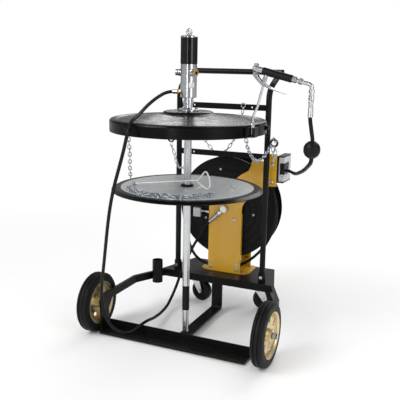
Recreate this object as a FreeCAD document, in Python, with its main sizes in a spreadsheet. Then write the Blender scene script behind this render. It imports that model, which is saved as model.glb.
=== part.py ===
import FreeCAD, Part
import math
import os
import Sketcher
from FreeCAD import Vector, Rotation, Placement

# Drum grease pump on a four-wheel trolley: pump, drum cover, follower plate,
# hose reel and hand gun.
# Frame: millimetres, +Z up, origin on the floor under the pump's axis.
# The toe plate is at the front (-Y) and the handle at the back (+Y);
# +X is to the right of someone in front of the toe plate and looking at it.

os.makedirs("parts", exist_ok=True)
doc = FreeCAD.newDocument("DrumPumpTrolley")
sheet = doc.addObject("Spreadsheet::Sheet", "Dimensions")
sheet.Label = "dims"

RIGHT = Vector(1, 0, 0)
LEFT = Vector(-1, 0, 0)
BACK = Vector(0, 1, 0)
UP = Vector(0, 0, 1)
AXIS_BACK = Rotation(RIGHT, -90)  # turns a piece's own Z towards the back
SIDES = (("left", -1), ("right", 1))


# ----------------------------------------------------- numbers and the sheet
class Linked:
    """A number together with the sheet expression that gives it."""

    def __init__(self, value, text):
        self.value = float(value)
        self.text = text

    @staticmethod
    def of(other):
        return other if isinstance(other, Linked) else Linked(other, "(%.6f)" % other)

    def __add__(self, other):
        other = Linked.of(other)
        return Linked(self.value + other.value, "(%s + %s)" % (self.text, other.text))

    def __sub__(self, other):
        other = Linked.of(other)
        return Linked(self.value - other.value, "(%s - %s)" % (self.text, other.text))

    def __rsub__(self, other):
        return Linked.of(other) - self

    def __mul__(self, other):
        other = Linked.of(other)
        return Linked(self.value * other.value, "(%s * %s)" % (self.text, other.text))

    def __truediv__(self, other):
        other = Linked.of(other)
        return Linked(self.value / other.value, "(%s / %s)" % (self.text, other.text))

    def __neg__(self):
        return Linked(-self.value, "(-1 * %s)" % self.text)


ALIASES = []


def dim(alias, value):
    """Write a driving dimension in the sheet and return it as a linked number."""
    ALIASES.append(alias)
    row = len(ALIASES)
    sheet.set("A%d" % row, alias)
    sheet.set("B%d" % row, "%g" % value)
    sheet.setAlias("B%d" % row, alias)
    return Linked(value, "dims." + alias)


def num(value):
    return value.value if isinstance(value, Linked) else float(value)


def vec(*coords):
    return Vector(*[num(c) for c in coords])


def around(radius, degrees, z):
    """The point at a radius and angle round the pump's axis."""
    angle = math.radians(degrees)
    return Vector(radius * math.cos(angle), radius * math.sin(angle), z)


# ------------------------------------------------------- document objects
NODES = []


def node(obj, name):
    obj.Label = name
    NODES.append(obj)
    return obj


def put(obj, x=0, y=0, z=0, rot=None):
    """Give an object its place; coordinates from the sheet stay bound to it."""
    obj.Placement = Placement(vec(x, y, z), rot or Rotation())
    for axis, value in (("x", x), ("y", y), ("z", z)):
        if isinstance(value, Linked):
            obj.setExpression(".Placement.Base.%s" % axis, value.text)


def body(name):
    return node(doc.addObject("PartDesign::Body", "B_" + name), name)


def origin_feature(owner, role):
    return next(f for f in owner.Origin.OriginFeatures if f.Role == role)


def sketch(owner, plane, offset=0):
    sk = owner.newObject("Sketcher::SketchObject", "Sk_%s_%d" % (owner.Name, len(owner.Group)))
    sk.AttachmentSupport = [(origin_feature(owner, plane), "")]
    sk.MapMode = "FlatFace"
    sk.AttachmentOffset = Placement(vec(0, 0, offset), Rotation())
    if isinstance(offset, Linked):
        sk.setExpression(".AttachmentOffset.Base.z", offset.text)
    return sk


def constrain(sk, value, kind, *refs):
    index = sk.addConstraint(Sketcher.Constraint(kind, *refs, num(value)))
    if isinstance(value, Linked):
        sk.setExpression("Constraints[%d]" % index, value.text)


def loop(sk, points):
    """A closed outline of straight lines with every corner dimensioned."""
    first = sk.GeometryCount
    count = len(points)
    corners = [vec(x, y, 0) for x, y in points]
    for i in range(count):
        sk.addGeometry(Part.LineSegment(corners[i], corners[(i + 1) % count]), False)
    for i in range(count):
        following = first + (i + 1) % count
        sk.addConstraint(Sketcher.Constraint("Coincident", first + i, 2, following, 1))
    for i, (x, y) in enumerate(points):
        constrain(sk, x, "DistanceX", first + i, 1)
        constrain(sk, y, "DistanceY", first + i, 1)


def ring(sk, x, y, radius):
    """A circle with its centre and radius dimensioned."""
    circle = sk.addGeometry(Part.Circle(vec(x, y, 0), UP, num(radius)), False)
    constrain(sk, x, "DistanceX", circle, 3)
    constrain(sk, y, "DistanceY", circle, 3)
    constrain(sk, radius, "Radius", circle)


def design_feature(owner, kind, prefix):
    name = "%s_%s_%d" % (prefix, owner.Name, len(owner.Group))
    feat = owner.newObject("PartDesign::" + kind, name)
    owner.Tip = feat
    return feat


def extrusion(owner, kind, sk, length, mid, rev):
    feat = design_feature(owner, kind, kind)
    feat.Profile = sk
    feat.Midplane = mid
    feat.Reversed = rev
    if isinstance(length, Linked):
        feat.setExpression("Length", length.text)
    else:
        feat.Length = length
    return feat


def pad(owner, sk, length, mid=False):
    return extrusion(owner, "Pad", sk, length, mid, False)


def pocket(owner, sk, length, mid=False, rev=False):
    return extrusion(owner, "Pocket", sk, length, mid, rev)


def polar(owner, original, count):
    """Repeat a feature round the body's own Z."""
    pattern = design_feature(owner, "PolarPattern", "Polar")
    pattern.Originals = [original]
    pattern.Axis = (origin_feature(owner, "Z_Axis"), [""])
    pattern.Angle = 360.0
    pattern.Occurrences = count


def turned(name, section, x=0, y=0, z=0, rot=None):
    """A turned piece: its half section (radius, height) spun about its own Z."""
    piece = body(name)
    sk = sketch(piece, "XZ_Plane")
    loop(sk, section)
    spin = design_feature(piece, "Revolution", "Rev")
    spin.Profile = sk
    spin.ReferenceAxis = (sk, ["V_Axis"])
    spin.Angle = 360.0
    put(piece, x, y, z, rot)
    return piece


def mirrored(half):
    """A half section completed by its mirror image across height zero."""
    return half + [(r, -z) for r, z in reversed(half)]


def feature(name, shape, x=0, y=0, z=0, rot=None):
    """A piece whose shape is computed directly from the sheet's numbers."""
    obj = doc.addObject("Part::Feature", "F_" + name)
    own = shape.Placement
    if not own.isIdentity():
        # Move the shape's own placement into its geometry, as put() overwrites it.
        shape = shape.copy()
        shape.Placement = Placement()
        shape = shape.transformed(own.toMatrix(), True)
    obj.Shape = shape
    put(obj, x, y, z, rot)
    node(obj, name)


# ---------------------------------------------------------- plain shapes
def cyl(radius, length, base=(0, 0, 0), along=UP):
    return Part.makeCylinder(num(radius), num(length), vec(*base), vec(*along))


def block(x0, x1, y0, y1, z0, z1):
    size = vec(x1, y1, z1) - vec(x0, y0, z0)
    return Part.makeBox(size.x, size.y, size.z, vec(x0, y0, z0))


def prism(points, along):
    """A flat polygon pushed along a vector."""
    corners = [vec(*p) for p in points]
    return Part.Face(Part.makePolygon(corners + corners[:1])).extrude(vec(*along))


def hexbar(across_flats, length, base, along, bore=0):
    """A hexagon bar along a direction, with an optional bore of that radius."""
    corner = across_flats / math.sqrt(3)
    angles = [math.radians(60 * k) for k in range(6)]
    outline = [(corner * math.cos(a), corner * math.sin(a), 0) for a in angles]
    bar = prism(outline, (0, 0, length))
    if bore:
        bar = bar.cut(cyl(bore, length + 2, (0, 0, -1)))
    bar.Placement = Placement(vec(*base), Rotation(UP, vec(*along).normalize()))
    return bar


def rounded_path(points, radii):
    """A wire of straight runs with an arc at each inner corner."""
    edges = []
    start = points[0]
    for before, corner, after, radius in zip(points, points[1:], points[2:], radii):
        to_before = (before - corner).normalize()
        to_after = (after - corner).normalize()
        half = to_before.getAngle(to_after) / 2
        setback = radius / math.tan(half)
        arc_start = corner + to_before * setback
        arc_end = corner + to_after * setback
        inward = (to_before + to_after).normalize()
        middle = corner + inward * (radius / math.sin(half) - radius)
        edges.append(Part.LineSegment(start, arc_start).toShape())
        edges.append(Part.Arc(arc_start, middle, arc_end).toShape())
        start = arc_end
    edges.append(Part.LineSegment(start, points[-1]).toShape())
    return Part.Wire(edges)


def spline_path(points):
    curve = Part.BSplineCurve()
    curve.interpolate([vec(*p) for p in points])
    return Part.Wire([curve.toShape()])


def sweep(wire, radius):
    """A round bar along a wire."""
    edge = wire.OrderedEdges[0]
    start = edge.valueAt(edge.FirstParameter)
    heading = edge.tangentAt(edge.FirstParameter)
    profile = Part.Wire([Part.Circle(start, heading, num(radius)).toShape()])
    bar = wire.makePipeShell([profile], True, True)
    # Guards a sweep that comes back as an open-ended shell.
    if bar.ShapeType == "Shell":
        bar = Part.Solid(bar)
    return bar


def fused(items):
    return items[0].fuse(items[1:]).removeSplitter()


def group(items):
    return Part.makeCompound(items)


def largest(shape):
    return max(shape.Solids, key=lambda solid: solid.Volume)


# ------------------------------------------------------------ dimensions
wheel_radius = dim("wheel_radius", 126.5)
wheel_width = dim("wheel_width", 50)
wheel_offset = dim("wheel_offset", 378)
wheel_setback = dim("wheel_setback", -86)
rim_radius = dim("rim_radius", 88)
axle_radius = dim("axle_radius", 10)
sheet_thickness = dim("sheet_thickness", 3)
deck_height = dim("deck_height", 171)
deck_flange = dim("deck_flange", 34)
deck_front = dim("deck_front", 322)
deck_back = dim("deck_back", 550)
deck_half_front = dim("deck_half_front", 278)
deck_half_back = dim("deck_half_back", 207)
post_offset = dim("post_offset", 209)
post_setback = dim("post_setback", 356)
post_radius = dim("post_radius", 12.5)
post_wall = dim("post_wall", 2)
handle_setback = dim("handle_setback", 505)
handle_height = dim("handle_height", 1090)
bend_height = dim("bend_height", 1020)
suction_radius = dim("suction_radius", 15)
suction_bore = dim("suction_bore", 12)
rod_radius = dim("rod_radius", 6)
running_gap = dim("running_gap", 0.05)
body_radius = dim("body_radius", 31.5)
body_bottom = dim("body_bottom", 993)
body_top = dim("body_top", 1125)
motor_radius = dim("motor_radius", 32.5)
motor_bore = dim("motor_bore", 28)
motor_top = dim("motor_top", 1222)
cover_radius = dim("cover_radius", 305)
cover_bottom = dim("cover_bottom", 870)
cover_top = dim("cover_top", 917)
cover_boss = dim("cover_boss", 947)
follower_height = dim("follower_height", 645)
follower_plate_radius = dim("follower_plate_radius", 264)
follower_lip_radius = dim("follower_lip_radius", 300)
reel_centre = dim("reel_centre", 5)
reel_height = dim("reel_height", 477)
spool_radius = dim("spool_radius", 235)
reel_front = dim("reel_front", 405)
reel_back = dim("reel_back", 549)
spindle_radius = dim("spindle_radius", 12)
hose_radius = dim("hose_radius", 6.5)
caster_radius = dim("caster_radius", 50)
caster_offset = dim("caster_offset", 155)
caster_setback = dim("caster_setback", 450)
caster_trail = dim("caster_trail", 35)
parking_radius = dim("parking_radius", 24)
parking_bore = dim("parking_bore", 21)
spout_radius = dim("spout_radius", 4.5)

# Places shared by several pieces
LEG_INNER, LEG_OUTER = 339.5, 347.5  # faces of the side arms' legs, from the middle
FOOT_BOLTS = [(x, y) for x in (-80, 90) for y in (430, 525)]  # reel foot to deck
PEDESTAL_BOLTS = [(x, z) for x in (-58, 70) for z in (190, 215)]
CASTER_BOLTS = [(x, y) for x in (-24, 24) for y in (-22, 22)]  # from the caster's pivot
CASTER_YAW = {-1: -12.0, 1: 28.0}  # degrees, by side
BOLT_HOLE = 4.1  # radius
PLATE_HOLE = 4.2  # radius of the holes in deck, rail, reel foot and caster plates
SOCKET_BOLT_Z = 195
HOOK_XS = (-150, 98)
UPPER_BAR_Z, LOWER_BAR_Z = 944, 735
CHAIN_RADIUS = 2.5


# --------------------------------------------------------------- trolley
def build_toe_plate():
    """An angle with a small front lip, lying across the front."""
    plate = body("toe_plate")
    sk = sketch(plate, "YZ_Plane")
    loop(sk, [(-130, 6), (-45, 6), (-45, 42), (-49, 42),
              (-49, 10), (-126, 10), (-126, 15), (-130, 15)])
    pad(plate, sk, 2 * LEG_INNER, mid=True)
    # Notch in the right end
    sk = sketch(plate, "XY_Plane")
    loop(sk, [(309, -134), (342, -134), (342, -62), (309, -62)])
    pocket(plate, sk, 60, mid=True)


def on_axle(radius, length, x, side):
    """A cylinder on the wheels' axis, pointing outwards."""
    return cyl(radius, length, (side * x, wheel_setback, wheel_radius), (side, 0, 0))


def build_side_arms():
    """Rectangular tubes with one bend, each with a leg down to the toe plate."""
    # Plan outlines (x, y) of the left arm and of its hollow
    outer = [(-347.5, -112), (-332.5, -112), (-332.5, 172),
             (-262, 322), (-278.6, 322), (-347.5, 175)]
    hollow = [(-344.5, -108), (-335.5, -108), (-335.5, 171),
              (-268, 316), (-272, 316), (-344.5, 174)]
    for name, side in SIDES:
        arm = prism([(-side * x, y, 137) for x, y in outer], (0, 0, 33))
        leg = block(*sorted((side * LEG_INNER, side * LEG_OUTER)), -112, -52, 6, 137)
        x = side * LEG_INNER
        gusset = prism([(x, -52, 137), (x, -20, 137), (x, -52, 95)], (8 * side, 0, 0))
        inner = prism([(-side * x, y, 140) for x, y in hollow], (0, 0, 27))
        bore = on_axle(axle_radius, 60, 320, side)
        feature(name + "_side_arm", fused([arm, leg, gusset]).cut(inner).cut(bore))


def build_wheel_axles():
    """Axle stubs with a shoulder, and their nuts with washers."""
    axles, nuts = [], []
    for _, side in SIDES:
        axles.append(fused([on_axle(axle_radius, 84, LEG_INNER, side),
                            on_axle(16, 4, LEG_OUTER, side)]))
        nut = hexbar(24, 10, (side * 409.5, wheel_setback, wheel_radius),
                     (side, 0, 0), axle_radius)
        washer = on_axle(15, 2, 407.5, side).cut(on_axle(axle_radius, 6, 405, side))
        nuts.append(fused([nut, washer]))
    feature("wheel_axles", group(axles))
    feature("axle_nuts", group(nuts))


def build_deck():
    """Folded sheet, narrower at the back, with a flange all round."""
    deck = body("deck")
    flange_bottom = deck_height - deck_flange
    sk = sketch(deck, "XY_Plane", flange_bottom)
    loop(sk, [(-deck_half_front, deck_front), (deck_half_front, deck_front),
              (deck_half_back, deck_back), (-deck_half_back, deck_back)])
    pad(deck, sk, deck_flange)
    # Hollow out from below
    wall = sheet_thickness
    half_front = deck_half_front - wall * 1.5
    half_back = deck_half_back - wall
    sk = sketch(deck, "XY_Plane", flange_bottom)
    loop(sk, [(-half_front, deck_front + wall), (half_front, deck_front + wall),
              (half_back, deck_back - wall), (-half_back, deck_back - wall)])
    pocket(deck, sk, deck_flange - wall, rev=True)
    sk = sketch(deck, "XY_Plane", deck_height)
    for x, y in FOOT_BOLTS:
        ring(sk, x, y, PLATE_HOLE)
    pocket(deck, sk, 10)


def build_caster_rail():
    """Box rail under the deck that carries the casters."""
    bottom = deck_height - deck_flange
    top = deck_height - sheet_thickness
    rail = block(-205, 205, 415, 485, bottom, top)
    rail = rail.cut(block(-206, 206, 418, 482, bottom + 3, top - 3))
    for _, side in SIDES:
        for dx, dy in CASTER_BOLTS:
            hole = (caster_offset * side + dx, caster_setback + dy, 132)
            rail = rail.cut(cyl(PLATE_HOLE, 12, hole))
    # Clearance for the nuts of the reel foot's front bolts
    for x in (-80, 90):
        rail = rail.cut(cyl(8.5, 10, (x, 430, 160)))
    feature("caster_rail", rail)


def build_centre_strut():
    """One flat bar, down from the deck and forward to the toe plate."""
    strut = body("centre_strut")
    sk = sketch(strut, "YZ_Plane", 5)
    loop(sk, [(325, 165), (333, 165), (333, 26), (327, 19), (321, 17),
              (-45, 17), (-45, 25), (317, 25), (325, 33)])
    pad(strut, sk, 50, mid=True)


def socket_bolt_hole(x):
    return cyl(BOLT_HOLE, 60, (x, post_setback - 30, SOCKET_BOLT_Z), BACK)


def build_posts():
    """Round tubes, bent back at the top and saddle-cut to the handle bar."""
    for name, side in SIDES:
        x = post_offset * side
        path = rounded_path([vec(x, post_setback, deck_height),
                             vec(x, post_setback, bend_height),
                             vec(x, handle_setback, handle_height)], [70])
        tube = sweep(path, post_radius).cut(sweep(path, post_radius - post_wall))
        tube = tube.cut(cyl(post_radius, 40, (x - 20, handle_setback, handle_height), RIGHT))
        tube = tube.cut(socket_bolt_hole(x))
        feature(name + "_post", largest(tube))


def build_handle_bar():
    bar = body("handle_bar")
    sk = sketch(bar, "YZ_Plane")
    ring(sk, handle_setback, handle_height, post_radius)
    ring(sk, handle_setback, handle_height, post_radius - post_wall)
    pad(bar, sk, post_offset * 2 + 26, mid=True)


def build_post_sockets():
    """Sockets that hold the posts on the deck, each with a cross bolt."""
    socket_radius = 16.5
    front = post_setback - socket_radius
    sockets, bolts = [], []
    for _, side in SIDES:
        x = post_offset * side
        socket = cyl(socket_radius, 43, (x, post_setback, deck_height))
        socket = socket.cut(cyl(post_radius, 50, (x, post_setback, deck_height - 2)))
        sockets.append(socket.cut(socket_bolt_hole(x)))
        bolts.append(fused([
            cyl(4, 46, (x, front - 1, SOCKET_BOLT_Z), BACK),
            cyl(7.5, 4, (x, front - 4.2, SOCKET_BOLT_Z), BACK),
            hexbar(12, 6, (x, post_setback + 17, SOCKET_BOLT_Z), BACK)]))
    feature("post_sockets", group(sockets))
    feature("socket_bolts", group(bolts))


def build_cross_bars():
    """Flat bars between the posts; the upper one also has the hooks' holes."""
    thick = 6
    half = post_offset - post_radius + 1.5
    for name, z, hooks in (("upper_cross_bar", UPPER_BAR_Z, HOOK_XS),
                           ("lower_cross_bar", LOWER_BAR_Z, ())):
        bar = body(name)
        sk = sketch(bar, "XZ_Plane", -(post_setback + thick / 2))
        loop(sk, [(-half, z - 12.5), (half, z - 12.5), (half, z + 12.5), (-half, z + 12.5)])
        for x in (-135, 135):
            ring(sk, x, z, 4)
        for x in hooks:
            ring(sk, x, z, 3.2)
        pad(bar, sk, thick)


def build_parking_tube():
    """An upright tube on the inner side of the left arm."""
    turned("parking_tube", [(parking_bore, 0), (parking_radius, 0),
                            (parking_radius, 105), (parking_bore, 105)],
           -266.4, 256.4, 128)


# ---------------------------------------------------- wheels and casters
def build_wheels():
    """Grooved tyres on pressed rims with six holes; height is measured outwards."""
    half = wheel_width / 2
    tread, rim = wheel_radius, rim_radius
    bore = axle_radius + running_gap
    tyre_section = mirrored([
        (rim, -22), (rim + 4, -24), (110, -half), (tread - 5, 3 - half),
        (tread - 1, 7 - half), (tread, -14), (tread - 0.2, -9.5), (tread - 5, -9),
        (tread - 5, -6.5), (tread, -6)])
    rim_section = [
        (bore, -26), (22, -26), (25, -24), (25, 2), (40, 4), (52, 10), (66, 10),
        (78, 2), (80, -18), (86, -22), (rim + 3, -25), (rim + 3, -23.6),
        (rim, -22.1), (rim, 22.1), (rim + 3, 23.6), (rim + 3, 25), (86, 22),
        (83.5, 18), (81.5, 5), (68, 13), (51, 13), (38, 7), (25, 5), (25, 24),
        (22, 26), (bore, 26)]
    for name, side in SIDES:
        place = (wheel_offset * side, wheel_setback, wheel_radius, Rotation(BACK, 90 * side))
        turned("tyre_" + name, tyre_section, *place)
        wheel = turned("rim_" + name, rim_section, *place)
        sk = sketch(wheel, "XY_Plane", -30)
        ring(sk, 59, 0, 9.5)
        polar(wheel, pocket(wheel, sk, 60, rev=True), 6)


def caster_plate(side):
    """Mounting plate with the pivot pin and its head."""
    plate = block(-34, 34, -31, 31, 133, 137)
    for dx, dy in CASTER_BOLTS:
        plate = plate.cut(cyl(PLATE_HOLE, 8, (dx, dy, 131)))
    plate = fused([plate, cyl(7, 18, (0, 0, 115)), cyl(12, 4, (0, 0, 111))])
    plate.Placement = Placement(vec(caster_offset * side, caster_setback, 0), Rotation())
    return plate


def caster_bolts(side):
    bolts = []
    for dx, dy in CASTER_BOLTS:
        x, y = caster_offset * side + dx, caster_setback + dy
        bolts.append(fused([hexbar(12, 4.5, (x, y, 128.5), UP), cyl(4, 12, (x, y, 133))]))
    return bolts


def caster_fork():
    # Side outline (x, z) of a fork leg; the wheel trails towards +x.
    outline = [(-24, 128.4), (24, 128.4), (47, 52), (43, 42), (35, 38), (27, 42), (-22, 112)]
    legs = [prism([(x, t * 20, z) for x, z in outline], (0, -t * 3, 0)) for t in (-1, 1)]
    fork = fused(legs + [block(-24, 24, -20, 20, 115.2, 120), cyl(24, 12.8, (0, 0, 120))])
    fork = fork.cut(cyl(7.05, 30, (0, 0, 110)))
    return fork.cut(cyl(5, 60, (caster_trail, -30, caster_radius), BACK))


def caster_axle():
    return fused([cyl(5, 46, (caster_trail, -20, caster_radius), BACK),
                  hexbar(13, 5, (caster_trail, -25, caster_radius), BACK),
                  hexbar(13, 5, (caster_trail, 20, caster_radius), BACK)])


def build_casters():
    tread = caster_radius
    wheel_section = mirrored([
        (5.05, -16), (12, -16), (13, -10), (30, -9), (33, -14),
        (tread - 4, -14), (tread - 1, -12), (tread, -8)])
    for name, side in SIDES:
        yaw = Rotation(UP, CASTER_YAW[side])
        place = Placement(vec(caster_offset * side, caster_setback, 0), yaw)
        for piece, shape in (("caster_fork_", caster_fork()), ("caster_axle_", caster_axle())):
            shape.Placement = place
            feature(piece + name, shape)
        centre = place.multVec(vec(caster_trail, 0, caster_radius))
        turned("caster_wheel_" + name, wheel_section, centre.x, centre.y, centre.z,
               yaw.multiply(Rotation(RIGHT, 90)))
    feature("caster_plates", group([caster_plate(side) for _, side in SIDES]))
    feature("caster_bolts", group(caster_bolts(-1) + caster_bolts(1)))


# ------------------------------------------------------------------ pump
AIR = around(1, -28, 0)  # direction of the air inlet
AIR_PORT = Vector(0, 0, 1092)  # where the inlet's line leaves the pump's axis
OUTLET_Z = 1018
EXHAUST_Z = 1092


def build_suction_tube():
    bore, outer = suction_bore, suction_radius
    turned("suction_tube", [(bore, 234), (outer, 234), (outer, body_bottom),
                            (bore, body_bottom)])
    turned("foot_sleeve", [(bore, 129), (outer, 129), (outer, 234), (bore, 234)])
    foot = fused([cyl(13, 96, (0, 0, 33)), Part.makeCone(12.4, 13, 2, Vector(0, 0, 31)),
                  cyl(14.4, 10, (0, 0, 119))])
    foot = foot.cut(cyl(10.2, 110, (0, 0, 25)))
    # Two crossing cuts make four slots
    foot = foot.cut(block(-3.5, 3.5, -30, 30, 44, 78))
    foot = foot.cut(block(-30, 30, -3.5, 3.5, 44, 78))
    feature("pump_foot", largest(foot))


def build_piston():
    """Piston, rod and priming plunger, which go up and down together."""
    edge = motor_bore - running_gap
    groove = motor_bore - 2.5
    turned("air_piston", [(0, 1135), (edge, 1135), (edge, 1140), (groove, 1140.5),
                          (groove, 1144.5), (edge, 1145), (edge, 1150), (0, 1150)])
    turned("piston_rod", [(0, 60), (rod_radius, 60), (rod_radius, 1135), (0, 1135)])
    turned("priming_plunger", [(0, 52), (4, 52), (10.1, 55), (10.1, 60), (0, 60)])


def build_pump_seals():
    bore = rod_radius + running_gap
    turned("foot_valve_seat", [(rod_radius + 1.5, 206), (suction_bore, 206),
                               (suction_bore, 216), (rod_radius + 3, 216)])
    turned("throat_seal", [(bore, 962), (suction_bore, 962), (suction_bore, 986), (bore, 986)])


def build_bung_adapter():
    """Flanged neck between the drum cover and the pump body, and its bolts."""
    turned("bung_adapter", [
        (suction_radius, cover_boss), (41, cover_boss), (41, 952), (40, 953), (25, 953),
        (19, 959), (19, 974), (21.5, 975), (21.5, 984), (19, 985), (19, body_bottom),
        (suction_radius, body_bottom)])
    feature("flange_bolts", group([hexbar(10, 5, around(33, 45 + 90 * k, 953), UP)
                                   for k in range(4)]))


def build_pump_body():
    drum = cyl(body_radius, body_top - body_bottom - 5, (0, 0, body_bottom + 5))
    drum = drum.makeChamfer(1.5, [e for e in drum.Edges if e.Length > 150])
    # Body, spigot underneath, and bosses for the inlet, outlet and exhaust
    shape = fused([drum, cyl(20, 6, (0, 0, body_bottom)),
                   cyl(17, body_radius + 7, AIR_PORT, AIR),
                   cyl(15, body_radius + 4, (0, 0, OUTLET_Z), LEFT),
                   cyl(10, body_radius + 3, (0, 0, EXHAUST_Z), LEFT)])
    shape = shape.cut(cyl(rod_radius + running_gap, 200, (0, 0, 960)))
    shape = shape.cut(cyl(6.6, 32, AIR_PORT + AIR * 8, AIR))
    shape = shape.cut(cyl(6.6, 40, (-8, 0, OUTLET_Z), LEFT))
    shape = shape.cut(cyl(5, 40, (-8, 0, EXHAUST_Z), LEFT))
    feature("pump_body", shape)


def build_air_motor():
    """Cylinder, cap and lifting eye on top of the pump body."""
    bore, outer, top = motor_bore, motor_radius, motor_top
    turned("air_cylinder", [(bore, body_top), (outer, body_top), (outer, top), (bore, top)])
    turned("motor_cap", [
        (0, top - 6), (bore, top - 6), (bore, top), (outer, top), (outer, top + 4),
        (outer - 3, top + 7), (9, top + 7), (8, top + 9), (0, top + 9)])
    eye = fused([Part.makeTorus(9.5, 5, Vector(0, 0, 1241.5), BACK),
                 cyl(9, 5, (0, 0, top + 9))])
    feature("lifting_eye", eye, rot=Rotation(UP, -15))


def build_pump_fittings():
    reach = num(body_radius)
    spigot = cyl(6.6, 8, AIR_PORT + AIR * (reach - 1), AIR)
    spigot = spigot.cut(cyl(5.9, 30, AIR_PORT + AIR * 20, AIR))
    nut = hexbar(22, 9, AIR_PORT + AIR * (reach + 7), AIR, 5.9)
    feature("air_inlet_bush", fused([nut, spigot]))
    spigot = cyl(6.6, 6, (2 - reach, 0, OUTLET_Z), LEFT)
    spigot = spigot.cut(cyl(4, 30, (-20, 0, OUTLET_Z), LEFT))
    nut = hexbar(19, 10, (-reach - 4, 0, OUTLET_Z), LEFT, 4)
    feature("outlet_adapter", fused([nut, spigot]))
    # Muffler steps: radius, length, x of the inner end
    steps = ((5, 20, -15), (13.5, 6, -reach - 3), (8, 5, -reach - 9), (12, 8, -reach - 14))
    feature("exhaust_muffler", fused([cyl(radius, length, (x, 0, EXHAUST_Z), LEFT)
                                      for radius, length, x in steps]))


# ----------------------------------------------------------- drum cover
COVER_TURN = 10  # degrees from +X to the first screw
COVER_SCREWS = 3
SCREW_Z = 893
GUN_X, GUN_Y = 301.0, -103.0  # the holder that the gun's coupler hangs in


def build_drum_cover():
    bore = suction_radius + 0.5
    rim, top, boss = cover_radius, cover_top, cover_boss
    cover = turned("drum_cover", [
        # upper face, outwards
        (bore, boss), (88, boss), (95, boss - 2), (99, boss - 7), (103, 938), (112, 935),
        (200, 922), (270, 915), (282, 919), (294, top + 1), (302, top - 2),
        (rim, top - 8), (rim, cover_bottom),
        # lower face, inwards
        (rim - 3, cover_bottom), (rim - 3, top - 9), (300, top - 5), (293, top - 3),
        (283, 916), (270, 912), (200, 919), (111, 932), (101, 935), (96, boss - 10),
        (93, boss - 5), (87, boss - 3), (bore, boss - 3)],
        rot=Rotation(UP, COVER_TURN))
    sk = sketch(cover, "YZ_Plane", 295)
    ring(sk, 0, SCREW_Z, 4.05)
    polar(cover, pocket(cover, sk, 16, rev=True), COVER_SCREWS)


def build_cover_screws():
    for k in range(COVER_SCREWS):
        angle = COVER_TURN + 360 // COVER_SCREWS * k
        along = around(1, angle, 0)
        # Shank, head and washer: radius, length, distance from the drum's axis
        steps = ((4, 24, 292), (10, 9, 307), (7, 2, 305.2))
        feature("cover_screw_%d" % (k + 1),
                fused([cyl(radius, length, around(start, angle, SCREW_Z), along)
                       for radius, length, start in steps]))


def build_gun_holder():
    """A bored block on the cover's rim, slotted open towards the front."""
    holder = block(GUN_X - 19, GUN_X + 15, GUN_Y - 17, GUN_Y + 17, 874, 908)
    holder = holder.cut(cyl(cover_radius + 0.1, 100, (0, 0, 860)))
    holder = holder.cut(cyl(7.6, 60, (GUN_X, GUN_Y, 860)))
    holder = holder.cut(block(GUN_X - 6, GUN_X + 4, GUN_Y - 20, GUN_Y, 868, 912))
    feature("gun_holder", largest(holder))


# -------------------------------------------------------- follower plate
HANDLE_X, HANDLE_Y = -190.0, -96.0
HANDLE_DIR = Vector(235, 56, 0).normalize()
HANDLE_TURN = Rotation(RIGHT, HANDLE_DIR)
HANDLE_PIN_Z = 11  # above the plate


def build_follower():
    base, edge = follower_height, follower_plate_radius
    bore = suction_radius + running_gap
    turned("follower_plate", [
        (20, base), (edge, base), (edge, base + 3), (edge - 2, base + 3),
        (60, base + 3), (52, base + 5), (20, base + 5)])
    turned("follower_lip", [
        (238, base - 4), (270, base - 4), (296, base - 9), (follower_lip_radius, base - 8),
        (follower_lip_radius, base - 5), (285, base + 3), (edge + 0.2, base + 4),
        (edge + 0.2, base), (238, base)])
    turned("follower_grommet", [
        (bore, base - 7), (27, base - 7), (27, base), (20, base), (20, base + 5),
        (26, base + 5), (26, base + 10), (23, base + 13), (bore, base + 13)])


def build_follower_lugs():
    """A forked lug with the handle's pin, and an eye on a pad at the right."""
    place = Placement(vec(HANDLE_X, HANDLE_Y, follower_height + 3), HANDLE_TURN)
    ears = [block(-8, 8, t * 6.6 - 1.5, t * 6.6 + 1.5, 0, 17) for t in (-1, 1)]
    lug = fused(ears + [block(-8, 8, -10, 10, 0, 3)])
    lug = lug.cut(cyl(2.6, 40, (0, -20, HANDLE_PIN_Z), BACK))
    lug.Placement = place
    eye = fused([block(175, 191, 13, 25, follower_height + 3, follower_height + 6),
                 Part.makeTorus(7, 2, vec(183, 19, follower_height + 13), BACK)])
    feature("follower_lugs", group([lug, eye]))
    pin = fused([cyl(2.5, 24, (0, -12, HANDLE_PIN_Z), BACK),
                 cyl(4.5, 2.5, (0, -12.5, HANDLE_PIN_Z), BACK),
                 cyl(4.5, 2.5, (0, 10, HANDLE_PIN_Z), BACK)])
    pin.Placement = place
    feature("follower_handle_pin", pin)


def build_follower_handle():
    """A bent rod with an eye on the lug's pin."""
    pivot = vec(HANDLE_X, HANDLE_Y, follower_height + 3 + HANDLE_PIN_Z)
    eye = cyl(6, 7.6, (0, -3.8, 0), BACK).cut(cyl(2.55, 20, (0, -10, 0), BACK))
    eye.Placement = Placement(pivot, HANDLE_TURN)
    bends = [(46, -40, 684), (60, -40, 683), (97, -40, 727), (113, -40, 693),
             (114, -40, 664), (103, -40, 654), (64, -40, 677)]
    points = [pivot + HANDLE_DIR * 5] + [Vector(*p) for p in bends]
    rod = sweep(rounded_path(points, [10, 6, 7, 10, 7, 7]), 3.2)
    feature("follower_handle", fused([eye, rod]))


# ------------------------------------------------------------- hose reel
SPOOL_Y = reel_front - 2  # the spool's own zero along the spindle
FOOT_TOP = 175
SWIVEL = vec(reel_centre, 387.5, reel_height)
SWIVEL_DIR = Vector(-0.72, 0, -0.69).normalize()  # direction of the hose inlet
LOCK_Y, LOCK_Z = 403, 452


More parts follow.
